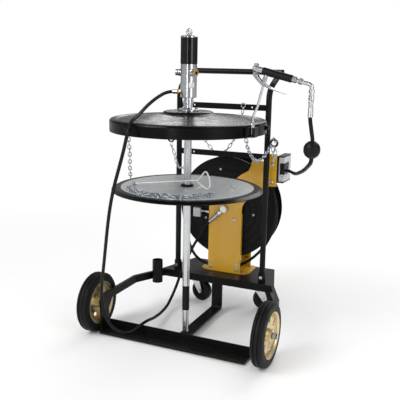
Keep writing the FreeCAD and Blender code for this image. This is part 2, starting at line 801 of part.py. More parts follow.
def on_reel(radius, length, y):
    """A cylinder on the reel's axis, starting at y and running back."""
    return cyl(radius, length, (reel_centre, y, reel_height), BACK)


def build_reel_foot():
    foot = body("reel_foot")
    sk = sketch(foot, "XY_Plane", deck_height)
    front, back = reel_front, reel_back
    loop(sk, [(-72, front), (86, front), (104, front + 2), (121, front + 24),
              (121, back - 26), (108, back), (-98, back), (-116, back - 26),
              (-116, front + 26), (-98, front + 4)])
    for x, y in FOOT_BOLTS:
        ring(sk, x, y, PLATE_HOLE)
    pad(foot, sk, 4)


def pedestal(name, offset, outline):
    """An upright plate 4 thick, bored for the spindle and the bracket bolts."""
    plate = body(name)
    sk = sketch(plate, "XZ_Plane", offset)
    loop(sk, outline)
    ring(sk, reel_centre, reel_height, spindle_radius)
    for x, z in PEDESTAL_BOLTS:
        ring(sk, x, z, BOLT_HOLE)
    pad(plate, sk, 4)


def build_pedestals():
    # Outlines are (x, z); the front one reaches out to the right for the hose guide.
    pedestal("front_pedestal", -reel_front, [
        (-74, 172), (86, 172), (85, 462), (88, 492), (98, 514), (130, 540), (209, 598),
        (242, 600), (242, 743), (203, 743), (196, 716), (180, 709), (127, 707),
        (124, 686), (112, 660), (78, 640), (20, 590), (-50, 560), (-74, 530)])
    pedestal("rear_pedestal", -reel_back - 4, [
        (-74, 172), (86, 172), (86, 480), (62, 540), (-50, 540), (-74, 480)])
    feature("pedestal_flange", block(82, 86, 404, 417, 236, 458))


def build_pedestal_brackets():
    """Corner brackets that stiffen each pedestal on the foot."""
    brackets = []
    for x0, x1, bolt_x in ((-72, -44, -58), (56, 82, 70)):
        for face, inward in ((num(reel_front), 1), (num(reel_back), -1)):
            upright = block(x0, x1, *sorted((face, face + inward * 3)), FOOT_TOP, 228)
            flat = block(x0, x1, *sorted((face, face + inward * 22)), FOOT_TOP, FOOT_TOP + 3)
            bracket = fused([upright, flat])
            for z in (190, 215):
                bracket = bracket.cut(cyl(BOLT_HOLE, 60, (bolt_x, face - 30, z), BACK))
            brackets.append(bracket)
    feature("pedestal_brackets", group(brackets))


def build_reel_bolts():
    # Start of the shank, head and nut along Y, for the front and rear pedestals
    stations = ((reel_front - 5, reel_front - 7.4, reel_front + 3),
                (reel_back - 10, reel_back + 4, reel_back - 9))
    bolts = []
    for x, z in PEDESTAL_BOLTS:
        for shank, head, nut in stations:
            bolts.append(fused([cyl(4, 15, (x, shank, z), BACK),
                                cyl(7.5, 3.4, (x, head, z), BACK),
                                hexbar(12, 6, (x, nut, z), BACK)]))
    for x, y in FOOT_BOLTS:
        bolts.append(fused([cyl(4, 16, (x, y, 164)),
                            hexbar(12, 5, (x, y, FOOT_TOP), UP),
                            hexbar(12, 5, (x, y, 162), UP)]))
    feature("reel_bolts", group(bolts))


def build_reel_spindle():
    feature("reel_spindle", fused([
        on_reel(spindle_radius, reel_back - reel_front + 41, reel_front - 29),
        on_reel(16, 3.5, reel_front - 7.5),
        on_reel(14, 3, reel_front - 29),
        on_reel(17, 5, reel_back + 4)]))


def build_spool():
    """Drum and two ribbed discs, turning on the spindle."""
    bore = spindle_radius + running_gap
    turned("spool_drum", [
        (bore, 20), (20, 20), (20, 24), (62, 24), (62, 118), (20, 118), (20, 122),
        (bore, 122), (bore, 118), (18, 116), (18, 113), (58, 113), (58, 29), (18, 29),
        (18, 26), (bore, 24)], reel_centre, SPOOL_Y, reel_height, AXIS_BACK)
    # Outer face of a disc: radius, height away from the drum
    face = [(62, 0), (80, 0), (84, 3), (110, 3), (114, 0), (140, 0), (144, 3), (172, 3),
            (176, 0), (204, 0), (208, 3), (spool_radius - 6, 3), (spool_radius - 1, 1),
            (spool_radius, -2)]
    thick = 2.5
    section = face + [(r, h - thick) for r, h in reversed(face)]
    for name, y, outward in (("spool_disc_front", 24, -1), ("spool_disc_rear", 114, 1)):
        turned(name, [(r, outward * h) for r, h in section],
               reel_centre, SPOOL_Y + y, reel_height, AXIS_BACK)


def build_reel_spring():
    """Clock spring inside the drum: a strip of six turns."""
    turns, steps, thick = 6, 180, 1.2
    points = []
    for i in range(steps + 1):
        part = i / steps
        radius = 22 + 32 * part
        angle = 2 * math.pi * turns * part
        points.append(Vector(radius * math.cos(angle), radius * math.sin(angle), 0))
    inner = Part.BSplineCurve()
    inner.interpolate(points)
    outer = Part.BSplineCurve()
    outer.interpolate([p + p * (thick / p.Length) for p in points])
    outline = Part.Wire([inner.toShape(),
                         Part.LineSegment(inner.EndPoint, outer.EndPoint).toShape(),
                         outer.toShape(),
                         Part.LineSegment(outer.StartPoint, inner.StartPoint).toShape()])
    feature("reel_spring", Part.Face(outline).extrude(Vector(0, 0, 60)),
            reel_centre, reel_front + 40, reel_height, AXIS_BACK)


def build_wound_hose():
    """The wound hose as one turned mass on the drum."""
    turned("wound_hose", [(62.5, 27.5), (196, 27.5), (208, 31), (212, 38), (212, 100),
                          (208, 107), (196, 110.5), (62.5, 110.5)],
           reel_centre, SPOOL_Y, reel_height, AXIS_BACK)


def build_inlet_swivel():
    """A ring on the spindle in front of the front pedestal, for the feed hose."""
    swivel = fused([on_reel(16.5, 17.5, 379), cyl(6.2, 38, SWIVEL, SWIVEL_DIR),
                    hexbar(22, 16, SWIVEL + SWIVEL_DIR * 19, SWIVEL_DIR)])
    feature("inlet_swivel", largest(swivel.cut(on_reel(spindle_radius, 60, 370))))


def on_lock(radius, length, x):
    return cyl(radius, length, (x, LOCK_Y, LOCK_Z), RIGHT)


def build_reel_lock():
    """A pull block with a pin beside the front pedestal's left edge."""
    grip = block(-152, -116, 393, 413, 424, 467)
    grip = grip.makeChamfer(2, grip.Edges)
    feature("lock_handle", fused([grip, on_lock(5, 12, -116)]))
    feature("lock_pin", on_lock(3.5, 29, -104))
    guide = fused([on_lock(5.5, 20, -94), hexbar(14, 5, (-79, LOCK_Y, LOCK_Z), RIGHT)])
    feature("lock_guide", guide.cut(on_lock(3.55, 60, -110)))


# ------------------------------------------------------------ hose guide
GUIDE_Y, GUIDE_Z = 458, 672  # centre of the window
LEVEL_X, UPRIGHT_X = 264, 252.5  # where the level and the upright rollers stand
LEVEL_ZS = (GUIDE_Z - 27, GUIDE_Z + 27)
UPRIGHT_YS = (GUIDE_Y - 20, GUIDE_Y + 20)


def build_guide_bracket():
    bracket = fused([block(242, 246, 401, 515, 618, 736), block(246, 272, 405, 511, 732, 736),
                     block(246, 272, 405, 511, 618, 622), block(246, 250, 401, 405, 618, 736)])
    window = block(240, 248, GUIDE_Y - 14, GUIDE_Y + 14, GUIDE_Z - 22, GUIDE_Z + 22)
    feature("guide_bracket", bracket.cut(window))


def build_roller_frame():
    face = block(270, 273, 409, 507, 624, 730)
    face = face.cut(block(265, 275, GUIDE_Y - 13, GUIDE_Y + 13, GUIDE_Z - 20, GUIDE_Z + 20))
    frame = fused([face, block(246, 270, 409, 412, 624, 730), block(246, 270, 504, 507, 624, 730),
                   block(246, 270, 412, 504, 727, 730), block(246, 270, 412, 504, 624, 627)])
    for z in LEVEL_ZS:
        frame = frame.cut(cyl(2.5, 130, (LEVEL_X, 400, z), BACK))
    for y in UPRIGHT_YS:
        frame = frame.cut(cyl(2.5, 140, (UPRIGHT_X, y, 610)))
    feature("guide_roller_frame", frame)


def roller(name, length, x, y, z, rot=None):
    turned(name, [(2.55, 0.5), (4.5, 0.5), (5.5, 2), (5.5, length - 2),
                  (4.5, length - 0.5), (2.55, length - 0.5)], x, y, z, rot)


def build_rollers():
    level = [cyl(2.5, 98, (LEVEL_X, 409, z), BACK) for z in LEVEL_ZS]
    upright = [cyl(2.5, 106, (UPRIGHT_X, y, 624)) for y in UPRIGHT_YS]
    feature("guide_roller_pins", group(level + upright))
    for name, z in zip(("bottom", "top"), LEVEL_ZS):
        roller("guide_roller_" + name, 92, LEVEL_X, 412, z, AXIS_BACK)
    for name, y in zip(("front", "rear"), UPRIGHT_YS):
        roller("guide_roller_" + name, 100, UPRIGHT_X, y, 627)


# -------------------------------------------------------------- hand gun
GUN_DIR = Vector(101, 0, -24).normalize()  # from the head towards the hose
GUN_HEAD = Vector(303, GUN_Y, 1113.4)
BARREL = GUN_HEAD + GUN_DIR * 30
BARREL_LENGTH = 128
PIVOT = Vector(306, GUN_Y, 1093)  # of the trigger
PIPE_DIR = Vector(-0.24, 0, -0.97).normalize()
PIPE_BOSS = BARREL + GUN_DIR * 14 + Vector(0, 0, -4)
ELBOW_X = 508.0
BALL_X = 519.5


def on_pivot(radius, length, start):
    """A cylinder on the trigger's pivot line; start is from the gun's mid plane."""
    return cyl(radius, length, (PIVOT.x, GUN_Y + start, PIVOT.z), BACK)


def build_gun_body():
    head = fused([cyl(13, 30, GUN_HEAD, GUN_DIR), cyl(8, 9, GUN_HEAD - GUN_DIR * 8, GUN_DIR),
                  block(301, 315, GUN_Y - 6, GUN_Y + 6, 1108, 1130),
                  cyl(6.5, 14, (309, GUN_Y, 1119), (-0.25, 0, 1))])
    head = fused([head, block(299, 313, GUN_Y - 7, GUN_Y + 7, 1087, 1109)])
    feature("gun_head", head.cut(on_pivot(2.6, 40, -20)))
    barrel = cyl(8.5, BARREL_LENGTH, BARREL, GUN_DIR).cut(cyl(4, 200, BARREL, GUN_DIR))
    feature("gun_barrel", fused([barrel, cyl(7.5, 20, PIPE_BOSS, PIPE_DIR)]))
    feature("gun_collar", hexbar(19, 13, BARREL + GUN_DIR * 112, GUN_DIR, 8.5))


def build_gun_grip():
    """A sleeve over the barrel, rounded at both ends and cut round the pipe's boss."""
    grip = cyl(13.5, 108, BARREL + GUN_DIR, GUN_DIR)
    grip = grip.makeFillet(2.5, [e for e in grip.Edges if 60 < e.Length < 90])
    grip = grip.cut(cyl(8.5, 200, BARREL - GUN_DIR * 5, GUN_DIR))
    grip = grip.cut(cyl(9.2, 60, PIPE_BOSS, PIPE_DIR))
    feature("gun_grip", largest(grip))


def build_gun_pipe():
    """The pipe down from the barrel to the coupler in the gun holder."""
    start = PIPE_BOSS + PIPE_DIR * 20
    feature("pipe_nut", hexbar(16, 18, start, PIPE_DIR, spout_radius))
    path = rounded_path([start, start + PIPE_DIR * 100, Vector(GUN_X + 1, GUN_Y, 948),
                         Vector(GUN_X, GUN_Y, 922.4)], [60, 40])
    feature("gun_pipe", sweep(path, spout_radius))
    turned("gun_coupler", [(0, 0), (3.4, 0), (4.4, 4), (4.4, 12), (7.5, 15), (7.5, 50),
                           (6, 53), (0, 53)], GUN_X, GUN_Y, 869)


def build_gun_trigger():
    """Forked lever hung from the head by a cross pin."""
    # Side outline (x, z) shared by the two cheeks and the lever they join
    outline = [(PIVOT.x - 5, 1098), (PIVOT.x + 6, 1097), (PIVOT.x + 12, 1086),
               (334, 1068), (362, 1051), (376, 1045.5), (418, 1032.5), (417, 1029.5),
               (374, 1042), (352, 1049), (330, 1059), (PIVOT.x + 2, 1080),
               (PIVOT.x - 6, 1090)]

    def slice_of(y, width, x0, x1):
        """The outline given a width from y on, kept between x0 and x1."""
        whole = prism([(x, y, z) for x, z in outline], (0, width, 0))
        return whole.common(block(x0, x1, GUN_Y - 20, GUN_Y + 20, 1000, 1120))

    cheeks = [slice_of(GUN_Y + t * 11.2 - 1.25, 2.5, 280, 372).cut(on_pivot(2.55, 60, -30))
              for t in (-1, 1)]
    feature("gun_trigger", fused(cheeks + [slice_of(GUN_Y - 12.5, 25, 364, 430)]))
    feature("trigger_pin", fused([on_pivot(2.5, 28, -14), on_pivot(4, 2, -14.6),
                                  on_pivot(4, 2, 12.6)]))


def build_hose_elbow():
    """Elbow from the barrel's end down to the whip hose, and its swivel nut."""
    start = BARREL + GUN_DIR * BARREL_LENGTH + GUN_DIR * 0.05
    corner_z = start.z + (ELBOW_X - start.x) * GUN_DIR.z / GUN_DIR.x
    bend = sweep(rounded_path([start, Vector(ELBOW_X, GUN_Y, corner_z),
                               Vector(ELBOW_X, GUN_Y, 1030)], [16]), 7.5)
    feature("hose_elbow", fused([bend, hexbar(19, 12, start + GUN_DIR * 6, GUN_DIR),
                                 cyl(10, 12, (ELBOW_X, GUN_Y, 1048), (0, 0, -1)),
                                 cyl(5, 12, (ELBOW_X, GUN_Y, 1032), (0, 0, -1))]))
    turned("swivel_nut", [(5.05, 0), (9, 0), (10.5, 2), (10.5, 7), (9.2, 8), (9.2, 12),
                          (10.5, 13), (10.5, 17), (5.05, 17)], ELBOW_X, GUN_Y, 1012.5)


# ----------------------------------------------------------------- hoses
def build_feed_hose():
    """Hose from the pump's outlet, down and under the deck, to the reel's swivel."""
    end = SWIVEL + SWIVEL_DIR * 98
    before_end = SWIVEL + SWIVEL_DIR * 112
    points = [  # x, y, z from the pump to the reel
        (-62, 0, 1018), (-70, 0, 1018), (-82, -8, 1016), (-96, -50, 1004),
        (-104, -130, 974), (-93, -240, 937), (-84, -300, 917), (-82, -323, 890),
        (-94, -328, 836), (-149, -312, 682), (-182, -290, 589), (-222, -257, 442),
        (-256, -225, 323), (-286, -192, 202), (-287, -162, 104), (-268, -134, 46),
        (-236, -116, 24), (-204, -100, 27), (-180, -74, 46), (-168, -36, 56),
        (-168, 20, 48), (-176, 90, 38), (-190, 190, 34), (-200, 262, 50),
        (-193, 296, 92), (-180, 307, 140), (-168, 322, 190), (-150, 352, 248),
        (-134, 370, 293), (-106, 382, 346), (before_end.x, 387.2, before_end.z), end]
    hose = sweep(spline_path(points), hose_radius)
    # Trim the end square inside its ferrule
    feature("feed_hose", hose.cut(block(-66.5, -40, -20, 20, 1000, 1040)))


def build_feed_ferrules():
    """A plain ferrule at the pump and a tapered one with four bands at the reel."""
    start = SWIVEL + SWIVEL_DIR * 38.2
    taper = fused([cyl(10.5, 8, start, SWIVEL_DIR),
                   Part.makeCone(10.5, 8.6, 50.6, start + SWIVEL_DIR * 8, SWIVEL_DIR)])
    bands = [cyl(10.9 - 0.35 * k, 3, start + SWIVEL_DIR * (13 + 9 * k), SWIVEL_DIR)
             for k in range(4)]
    plain = cyl(8.2, 21, (-45.5, 0, OUTLET_Z), LEFT)
    feature("feed_hose_ferrules", group([plain, fused([taper] + bands)]))


def build_delivery_hose():
    """Hose from the spool, through the guide, to the hose stop ball."""
    points = [  # x, y, z from the spool to the ball
        (-213, 442, 520), (-222, 442, 420), (-204, 441, 320), (-172, 434, 246),
        (-134, 430, 209), (-80, 430, 191), (0, 430, 190), (72, 430, 208),
        (128, 432, 244), (180, 437, 301), (212, 441, 360), (236, 443, 430),
        (234, 444, 510), (214, 446, 578), (202, 450, 612), (207, 456, 643),
        (224, 458, 662), (248, 458, 667), (274, 456, 667), (298, 432, 667),
        (326, 370, 673), (364, 280, 688), (404, 180, 711), (453, 60, 743),
        (490, -30, 773), (511, -82, 792), (518, -98.5, 804),
        (BALL_X, GUN_Y, 812), (BALL_X, GUN_Y, 819)]
    hose = sweep(spline_path(points), hose_radius)
    # Trim the end level with the ball's underside
    feature("delivery_hose", hose.cut(block(500, 540, -130, -80, 815, 830)))


def build_whip_hose():
    """Short hose from the elbow's ferrule down to the stop ball."""
    turned("hose_ferrule", [(0, 0), (7.2, 0), (9.2, 2), (9.2, 30), (8, 33), (8, 47),
                            (9, 48), (9, 58), (0, 58)], ELBOW_X, GUN_Y, 954)
    points = [(ELBOW_X, GUN_Y, 953.7), (ELBOW_X, GUN_Y, 946), (ELBOW_X + 5, GUN_Y, 915),
              (BALL_X, GUN_Y, 882), (BALL_X, GUN_Y, 873.4)]
    feature("whip_hose", sweep(spline_path(points), hose_radius))
    turned("hose_stop_ball", [
        (0, 0), (12, 0), (14, 1.5), (23, 8.5), (28.5, 20), (29.3, 29), (28.5, 38),
        (23, 49.5), (14, 56.5), (12, 58), (0, 58)], BALL_X, GUN_Y, 815)


# ---------------------------------------------------------------- chains
# Name, points (x, y, z), radius of the bend at each inner point
BENT_CHAINS = [
    ("chain_rear", [(-149, 347, 934), (-88, 366, 790), (-15, 367, 722), (54, 366, 796),
                    (97, 347, 934)], [40, 20, 40]),
    ("chain_post", [(-250, 329, 850), (-226, 329, 742), (-209, 329, 662),
                    (-160, 329, 664)], [60, 20]),
    ("chain_right", [(279, -105, 866), (262, 20, 776), (248, 180, 744),
                     (239, 318, 808)], [60, 60]),
    ("chain_tail", [(253, 331, 780), (252, 331, 759), (246, 331, 728)], [10]),
]


def build_chains():
    """The chains, drawn as round bars."""
    left = [(-100, -286, 866), (-150, -196, 760), (-189, -113, 669)]
    feature("chain_left", sweep(spline_path(left), CHAIN_RADIUS))
    for name, points, radii in BENT_CHAINS:
        path = rounded_path([Vector(*p) for p in points], radii)
        feature(name, sweep(path, CHAIN_RADIUS))
    # Chain lying on the follower plate (x, y)
    pile = [(-190, -118), (-186, -150), (-150, -190), (-108, -222), (-60, -241), (-8, -248),
            (42, -243), (88, -228), (126, -202), (152, -168), (164, -132), (150, -106)]
    z = follower_height + 3 + CHAIN_RADIUS + 0.2
    feature("chain_pile", sweep(spline_path([(x, y, z) for x, y in pile]), CHAIN_RADIUS))


def build_chain_ring():
    """A ring beside the right post, with a tab shaped to the post."""
    shape = fused([Part.makeTorus(14.5, 4.6, Vector(245, 338, 800), BACK),
                   block(221, 231, 335, 341, 790, 810)])
    shape = shape.cut(cyl(post_radius, 100, (post_offset, post_setback, 760)))
    feature("chain_ring", largest(shape))


def build_chain_hooks():
    """Hooks through the upper cross bar."""
    hooks = []
    for x in HOOK_XS:
        path = rounded_path([Vector(x, 364, 938), Vector(x, 364, UPPER_BAR_Z),
                             Vector(x, 347.5, UPPER_BAR_Z), Vector(x, 347.5, 939)], [2.9, 2.9])
        hooks.append(sweep(path, 2.4))
    feature("chain_hooks", group(hooks))


for build in (
        build_toe_plate, build_side_arms, build_wheel_axles, build_deck, build_caster_rail,
        build_centre_strut, build_posts, build_handle_bar, build_post_sockets,
        build_cross_bars, build_parking_tube, build_wheels, build_casters,
        build_suction_tube, build_piston, build_pump_seals, build_bung_adapter,
        build_pump_body, build_air_motor, build_pump_fittings, build_drum_cover,
        build_cover_screws, build_gun_holder, build_follower, build_follower_lugs,
        build_follower_handle, build_reel_foot, build_pedestals, build_pedestal_brackets,
        build_reel_bolts, build_reel_spindle, build_spool, build_reel_spring,
        build_wound_hose, build_inlet_swivel, build_reel_lock, build_guide_bracket,
        build_roller_frame, build_rollers, build_gun_body, build_gun_grip, build_gun_pipe,
        build_gun_trigger, build_hose_elbow, build_feed_hose, build_feed_ferrules,
        build_delivery_hose, build_whip_hose, build_chains, build_chain_ring,
        build_chain_hooks):
    build()

# ------------------------------------------- welded and grouped pieces
# Name and the labels of its members, taken in this order
WELD, GROUP = "weld", "group"
COMBINED = [
    (WELD, "side_arms", "left_side_arm right_side_arm wheel_axles parking_tube"),
    (WELD, "deck", "deck caster_rail post_sockets centre_strut"),
    (WELD, "handle_frame", "left_post right_post handle_bar upper_cross_bar lower_cross_bar"),
    (GROUP, "fasteners",
     "axle_nuts socket_bolts caster_bolts reel_bolts flange_bolts lock_guide"),
    (GROUP, "pump_seals", "foot_valve_seat throat_seal"),
    (WELD, "piston_rod", "piston_rod priming_plunger"),
    (WELD, "motor_cap", "motor_cap lifting_eye"),
    (GROUP, "brass_fittings", "air_inlet_bush outlet_adapter"),
    (GROUP, "cover_screws", "cover_screw_1 cover_screw_2 cover_screw_3"),
    (GROUP, "follower_lugs", "follower_lugs follower_handle_pin"),
    (GROUP, "follower_lip", "follower_lip follower_grommet"),
    (GROUP, "caster_fork_left", "caster_fork_left caster_axle_left"),
    (GROUP, "caster_fork_right", "caster_fork_right caster_axle_right"),
    (WELD, "reel_foot", "reel_foot pedestal_brackets"),
    (WELD, "front_pedestal", "front_pedestal pedestal_flange"),
    (GROUP, "spool", "spool_drum spool_disc_front spool_disc_rear"),
    (WELD, "lock_plunger", "lock_handle lock_pin"),
    (GROUP, "guide_bracket", "guide_bracket guide_roller_pins"),
    (WELD, "gun_body", "gun_head gun_barrel gun_collar"),
    (GROUP, "gun_pipe", "gun_pipe pipe_nut gun_coupler"),
    (GROUP, "gun_body", "gun_body trigger_pin"),
    (GROUP, "whip_hose", "whip_hose hose_ferrule"),
    (GROUP, "feed_hose", "feed_hose feed_hose_ferrules"),
    (GROUP, "chains",
     "chain_left chain_rear chain_post chain_right chain_tail chain_hooks chain_ring"),
]


def combine(how, name, labels):
    """Weld pieces into one solid, or hold like pieces together as a group."""
    members = [next(o for o in NODES if o.Label == label) for label in labels.split()]
    for member in members:
        NODES.remove(member)
        member.Label = "p_" + member.Label
    if how == WELD:
        whole = doc.addObject("Part::MultiFuse", "W_" + name)
        whole.Shapes = members
        whole.Refine = True
    else:
        whole = doc.addObject("Part::Compound", "G_" + name)
        whole.Links = members
    node(whole, name)


doc.recompute()
for entry in COMBINED:
    combine(*entry)
doc.recompute()

# ------------------------------------------------------ check and export
faults = []
labels_seen = set()
for obj in doc.Objects:
    if "Invalid" in obj.State or "Error" in obj.State:
        faults.append("%s %s" % (obj.Name, obj.State))
for obj in NODES:
    if obj.Shape.isNull() or not obj.Shape.isValid() or not obj.Shape.Solids:
        faults.append("%s has no valid solid" % obj.Label)
    if obj.Label in labels_seen:
        faults.append("twice: " + obj.Label)
    labels_seen.add(obj.Label)
if faults:
    raise RuntimeError("; ".join(faults))
for old in os.listdir("parts"):
    if old.endswith(".step"):
        os.remove(os.path.join("parts", old))
for obj in NODES:
    obj.Shape.exportStep(os.path.join("parts", obj.Label + ".step"))
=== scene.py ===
import math

import bmesh
import bpy
import numpy as np
from mathutils import Matrix, Quaternion, Vector


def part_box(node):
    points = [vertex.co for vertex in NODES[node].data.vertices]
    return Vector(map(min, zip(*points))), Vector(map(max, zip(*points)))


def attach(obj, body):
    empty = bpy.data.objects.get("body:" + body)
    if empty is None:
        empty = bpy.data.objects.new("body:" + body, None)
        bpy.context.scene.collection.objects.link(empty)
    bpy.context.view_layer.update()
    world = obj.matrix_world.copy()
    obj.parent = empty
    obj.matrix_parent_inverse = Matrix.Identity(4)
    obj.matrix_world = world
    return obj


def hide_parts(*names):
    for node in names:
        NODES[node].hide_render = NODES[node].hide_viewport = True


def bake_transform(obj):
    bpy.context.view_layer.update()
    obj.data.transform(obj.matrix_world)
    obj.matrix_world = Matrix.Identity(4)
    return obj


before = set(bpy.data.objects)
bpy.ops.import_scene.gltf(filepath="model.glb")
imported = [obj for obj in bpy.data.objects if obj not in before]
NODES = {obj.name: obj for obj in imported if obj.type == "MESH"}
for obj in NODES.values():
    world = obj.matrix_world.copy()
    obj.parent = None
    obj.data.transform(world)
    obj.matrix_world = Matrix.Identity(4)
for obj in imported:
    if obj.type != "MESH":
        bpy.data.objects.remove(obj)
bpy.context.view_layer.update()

MM = 0.001
REEL_X, REEL_Z = 5.0, 477.0  # reel axle, mm


# ---------------------------------------------------------- shader nodes
class Nodes:
    """Adds shader nodes to one tree; inputs take either values or sockets to link."""

    def __init__(self, tree):
        self.tree = tree

    def feed(self, node, inputs):
        for key, value in inputs.items():
            if isinstance(value, bpy.types.NodeSocket):
                self.tree.links.new(value, node.inputs[key])
            else:
                node.inputs[key].default_value = value

    def add(self, kind, inputs=None, **settings):
        node = self.tree.nodes.new(kind)
        for name, value in settings.items():
            setattr(node, name, value)
        self.feed(node, inputs or {})
        return node

    def math(self, operation, first, second=None):
        inputs = {0: first} if second is None else {0: first, 1: second}
        return self.add("ShaderNodeMath", inputs, operation=operation).outputs[0]

    def remap(self, value, source, target, **settings):
        inputs = {
            "Value": value,
            "From Min": source[0], "From Max": source[1],
            "To Min": target[0], "To Max": target[1],
        }
        return self.add("ShaderNodeMapRange", inputs, **settings).outputs[0]


class Surface(Nodes):
    """A Principled material whose patterns follow object coordinates (metres)."""

    def __init__(self, name, color=(0.5, 0.5, 0.5), rough=0.5, metal=0.0, coat=0.0,
                 coat_rough=0.1, specular=0.5):
        self.material = bpy.data.materials.new(name)
        self.material.use_nodes = True
        super().__init__(self.material.node_tree)
        self.shader = self.tree.nodes["Principled BSDF"]
        self.feed(self.shader, {
            "Base Color": (*color, 1),
            "Roughness": rough,
            "Metallic": metal,
            "Coat Weight": coat,
            "Coat Roughness": coat_rough,
            "Specular IOR Level": specular,
        })
        self.normal = None
        self.position = self.add("ShaderNodeTexCoord").outputs["Object"]

    def mapping(self, scale=(1, 1, 1), location=(0, 0, 0)):
        inputs = {"Vector": self.position, "Scale": scale, "Location": location}
        return self.add("ShaderNodeMapping", inputs).outputs["Vector"]

    def noise(self, scale, detail=4, roughness=0.55, vector=None, distortion=0.0):
        return self.add("ShaderNodeTexNoise", {
            "Scale": scale,
            "Detail": detail,
            "Roughness": roughness,
            "Distortion": distortion,
            "Vector": self.position if vector is None else vector,
        }).outputs["Fac"]

    def mix(self, factor, first, second):
        first, second = ((*c, 1) if isinstance(c, tuple) else c for c in (first, second))
        inputs = {0: factor, 6: first, 7: second}
        return self.add("ShaderNodeMix", inputs, data_type="RGBA").outputs[2]

    def rise(self, value, start, end, top=1.0):
        """0 at start, rising to top at end."""
        return self.remap(value, (start, end), (0.0, top))

    def patches(self, start, end, top, **noise):
        return self.rise(self.noise(**noise), start, end, top)

    def spread(self, noise, low, high):
        """The middle of a noise stretched over low to high."""
        return self.remap(noise, (0.3, 0.7), (low, high))

    def layered(self, tone, low, high, cover, cover_color):
        """Colours low to high by tone, under a covering colour."""
        return self.mix(cover, self.mix(tone, low, high), cover_color)

    def facing_up(self):
        geometry = self.add("ShaderNodeNewGeometry")
        parts = self.add("ShaderNodeSeparateXYZ", {0: geometry.outputs["Normal"]})
        return self.rise(parts.outputs[2], start=0.3, end=1.0)

    def bevel_normal(self, radius):
        return self.add("ShaderNodeBevel", {"Radius": radius}, samples=4).outputs[0]

    def rubbed_edges(self, radius, scale, top):
        """Broken wear along edges, found where the bevelled normal bends away."""
        bent = self.bevel_normal(radius)
        true = self.add("ShaderNodeNewGeometry").outputs["Normal"]
        dot = self.add("ShaderNodeVectorMath", {0: bent, 1: true}, operation="DOT_PRODUCT")
        edge = self.rise(dot.outputs["Value"], start=0.995, end=0.86)
        wear = self.patches(start=0.5, end=0.72, top=top, scale=scale, detail=5, roughness=0.7)
        return self.math("MULTIPLY", edge, wear)

    def shade(self, color, rough):
        self.feed(self.shader, {"Base Color": color, "Roughness": rough})

    def bump(self, height, distance, strength, bevel=None):
        """Stacks a bump on earlier ones; the first may start from bevelled edges."""
        inputs = {"Height": height, "Distance": distance, "Strength": strength}
        if self.normal is not None:
            inputs["Normal"] = self.normal
        elif bevel:
            inputs["Normal"] = self.bevel_normal(bevel)
        self.normal = self.add("ShaderNodeBump", inputs).outputs[0]
        self.feed(self.shader, {"Normal": self.normal})

    def grain(self, distance, strength, bevel=None, **noise):
        self.bump(self.noise(**noise), distance, strength, bevel)


# ------------------------------------------------------------- materials
def scaled(color, factor):
    return tuple(min(1, part * factor) for part in color)


def black_coat(name, base, rough, peel, dusty, coat=0.0, specular=0.17):
    """Black powder coat: orange peel, faint dust on top faces, slightly rubbed edges."""
    surf = Surface(name, rough=rough, coat=coat, coat_rough=0.12, specular=specular)
    dust = surf.math(
        "MULTIPLY",
        surf.patches(start=0.45, end=0.75, top=dusty, scale=14, detail=6, roughness=0.62),
        surf.facing_up())
    body = surf.layered(
        surf.noise(scale=5, detail=3),
        scaled((base,) * 3, 0.82), (base * 1.25, base * 1.25, base * 1.32),
        dust, (0.022, 0.022, 0.024))
    worn = surf.rubbed_edges(radius=0.0011, scale=90, top=0.55)
    color = surf.mix(worn, body, (0.05, 0.05, 0.052))
    uneven = surf.spread(surf.noise(scale=30, detail=5), low=rough - 0.06, high=rough + 0.08)
    surf.shade(color, surf.math("ADD", uneven, surf.math("MULTIPLY", dust, 0.3)))
    surf.grain(scale=650, detail=2, roughness=0.5, distance=peel, strength=0.6, bevel=0.0009)
    surf.grain(scale=160, detail=3, roughness=0.5, distance=peel * 1.5, strength=0.25)
    return surf.material


def spool_black():
    """Satin black pressed sheet with faint rings round the reel axle and scuffs."""
    surf = Surface("spool_black", rough=0.38, specular=0.15)
    from_axle = surf.mapping(location=(-REEL_X * MM, 0, -REEL_Z * MM))
    x, _, z = surf.add("ShaderNodeSeparateXYZ", {0: from_axle}).outputs
    squares = surf.math("ADD", surf.math("MULTIPLY", x, x), surf.math("MULTIPLY", z, z))
    radial = surf.add("ShaderNodeCombineXYZ", {0: surf.math("SQRT", squares)}).outputs[0]
    rings = surf.noise(scale=220, detail=3, roughness=0.6, vector=radial)
    scuff = surf.patches(start=0.62, end=0.8, top=0.5, scale=60, detail=8, roughness=0.75)
    surf.shade(
        color=surf.layered(rings, (0.003, 0.003, 0.0034), (0.007, 0.007, 0.0076),
                           scuff, (0.02, 0.02, 0.021)),
        rough=surf.spread(rings, low=0.3, high=0.48))
    surf.bump(rings, distance=0.0002, strength=0.35, bevel=0.0012)
    surf.grain(scale=500, detail=2, distance=0.00012, strength=0.4)
    return surf.material


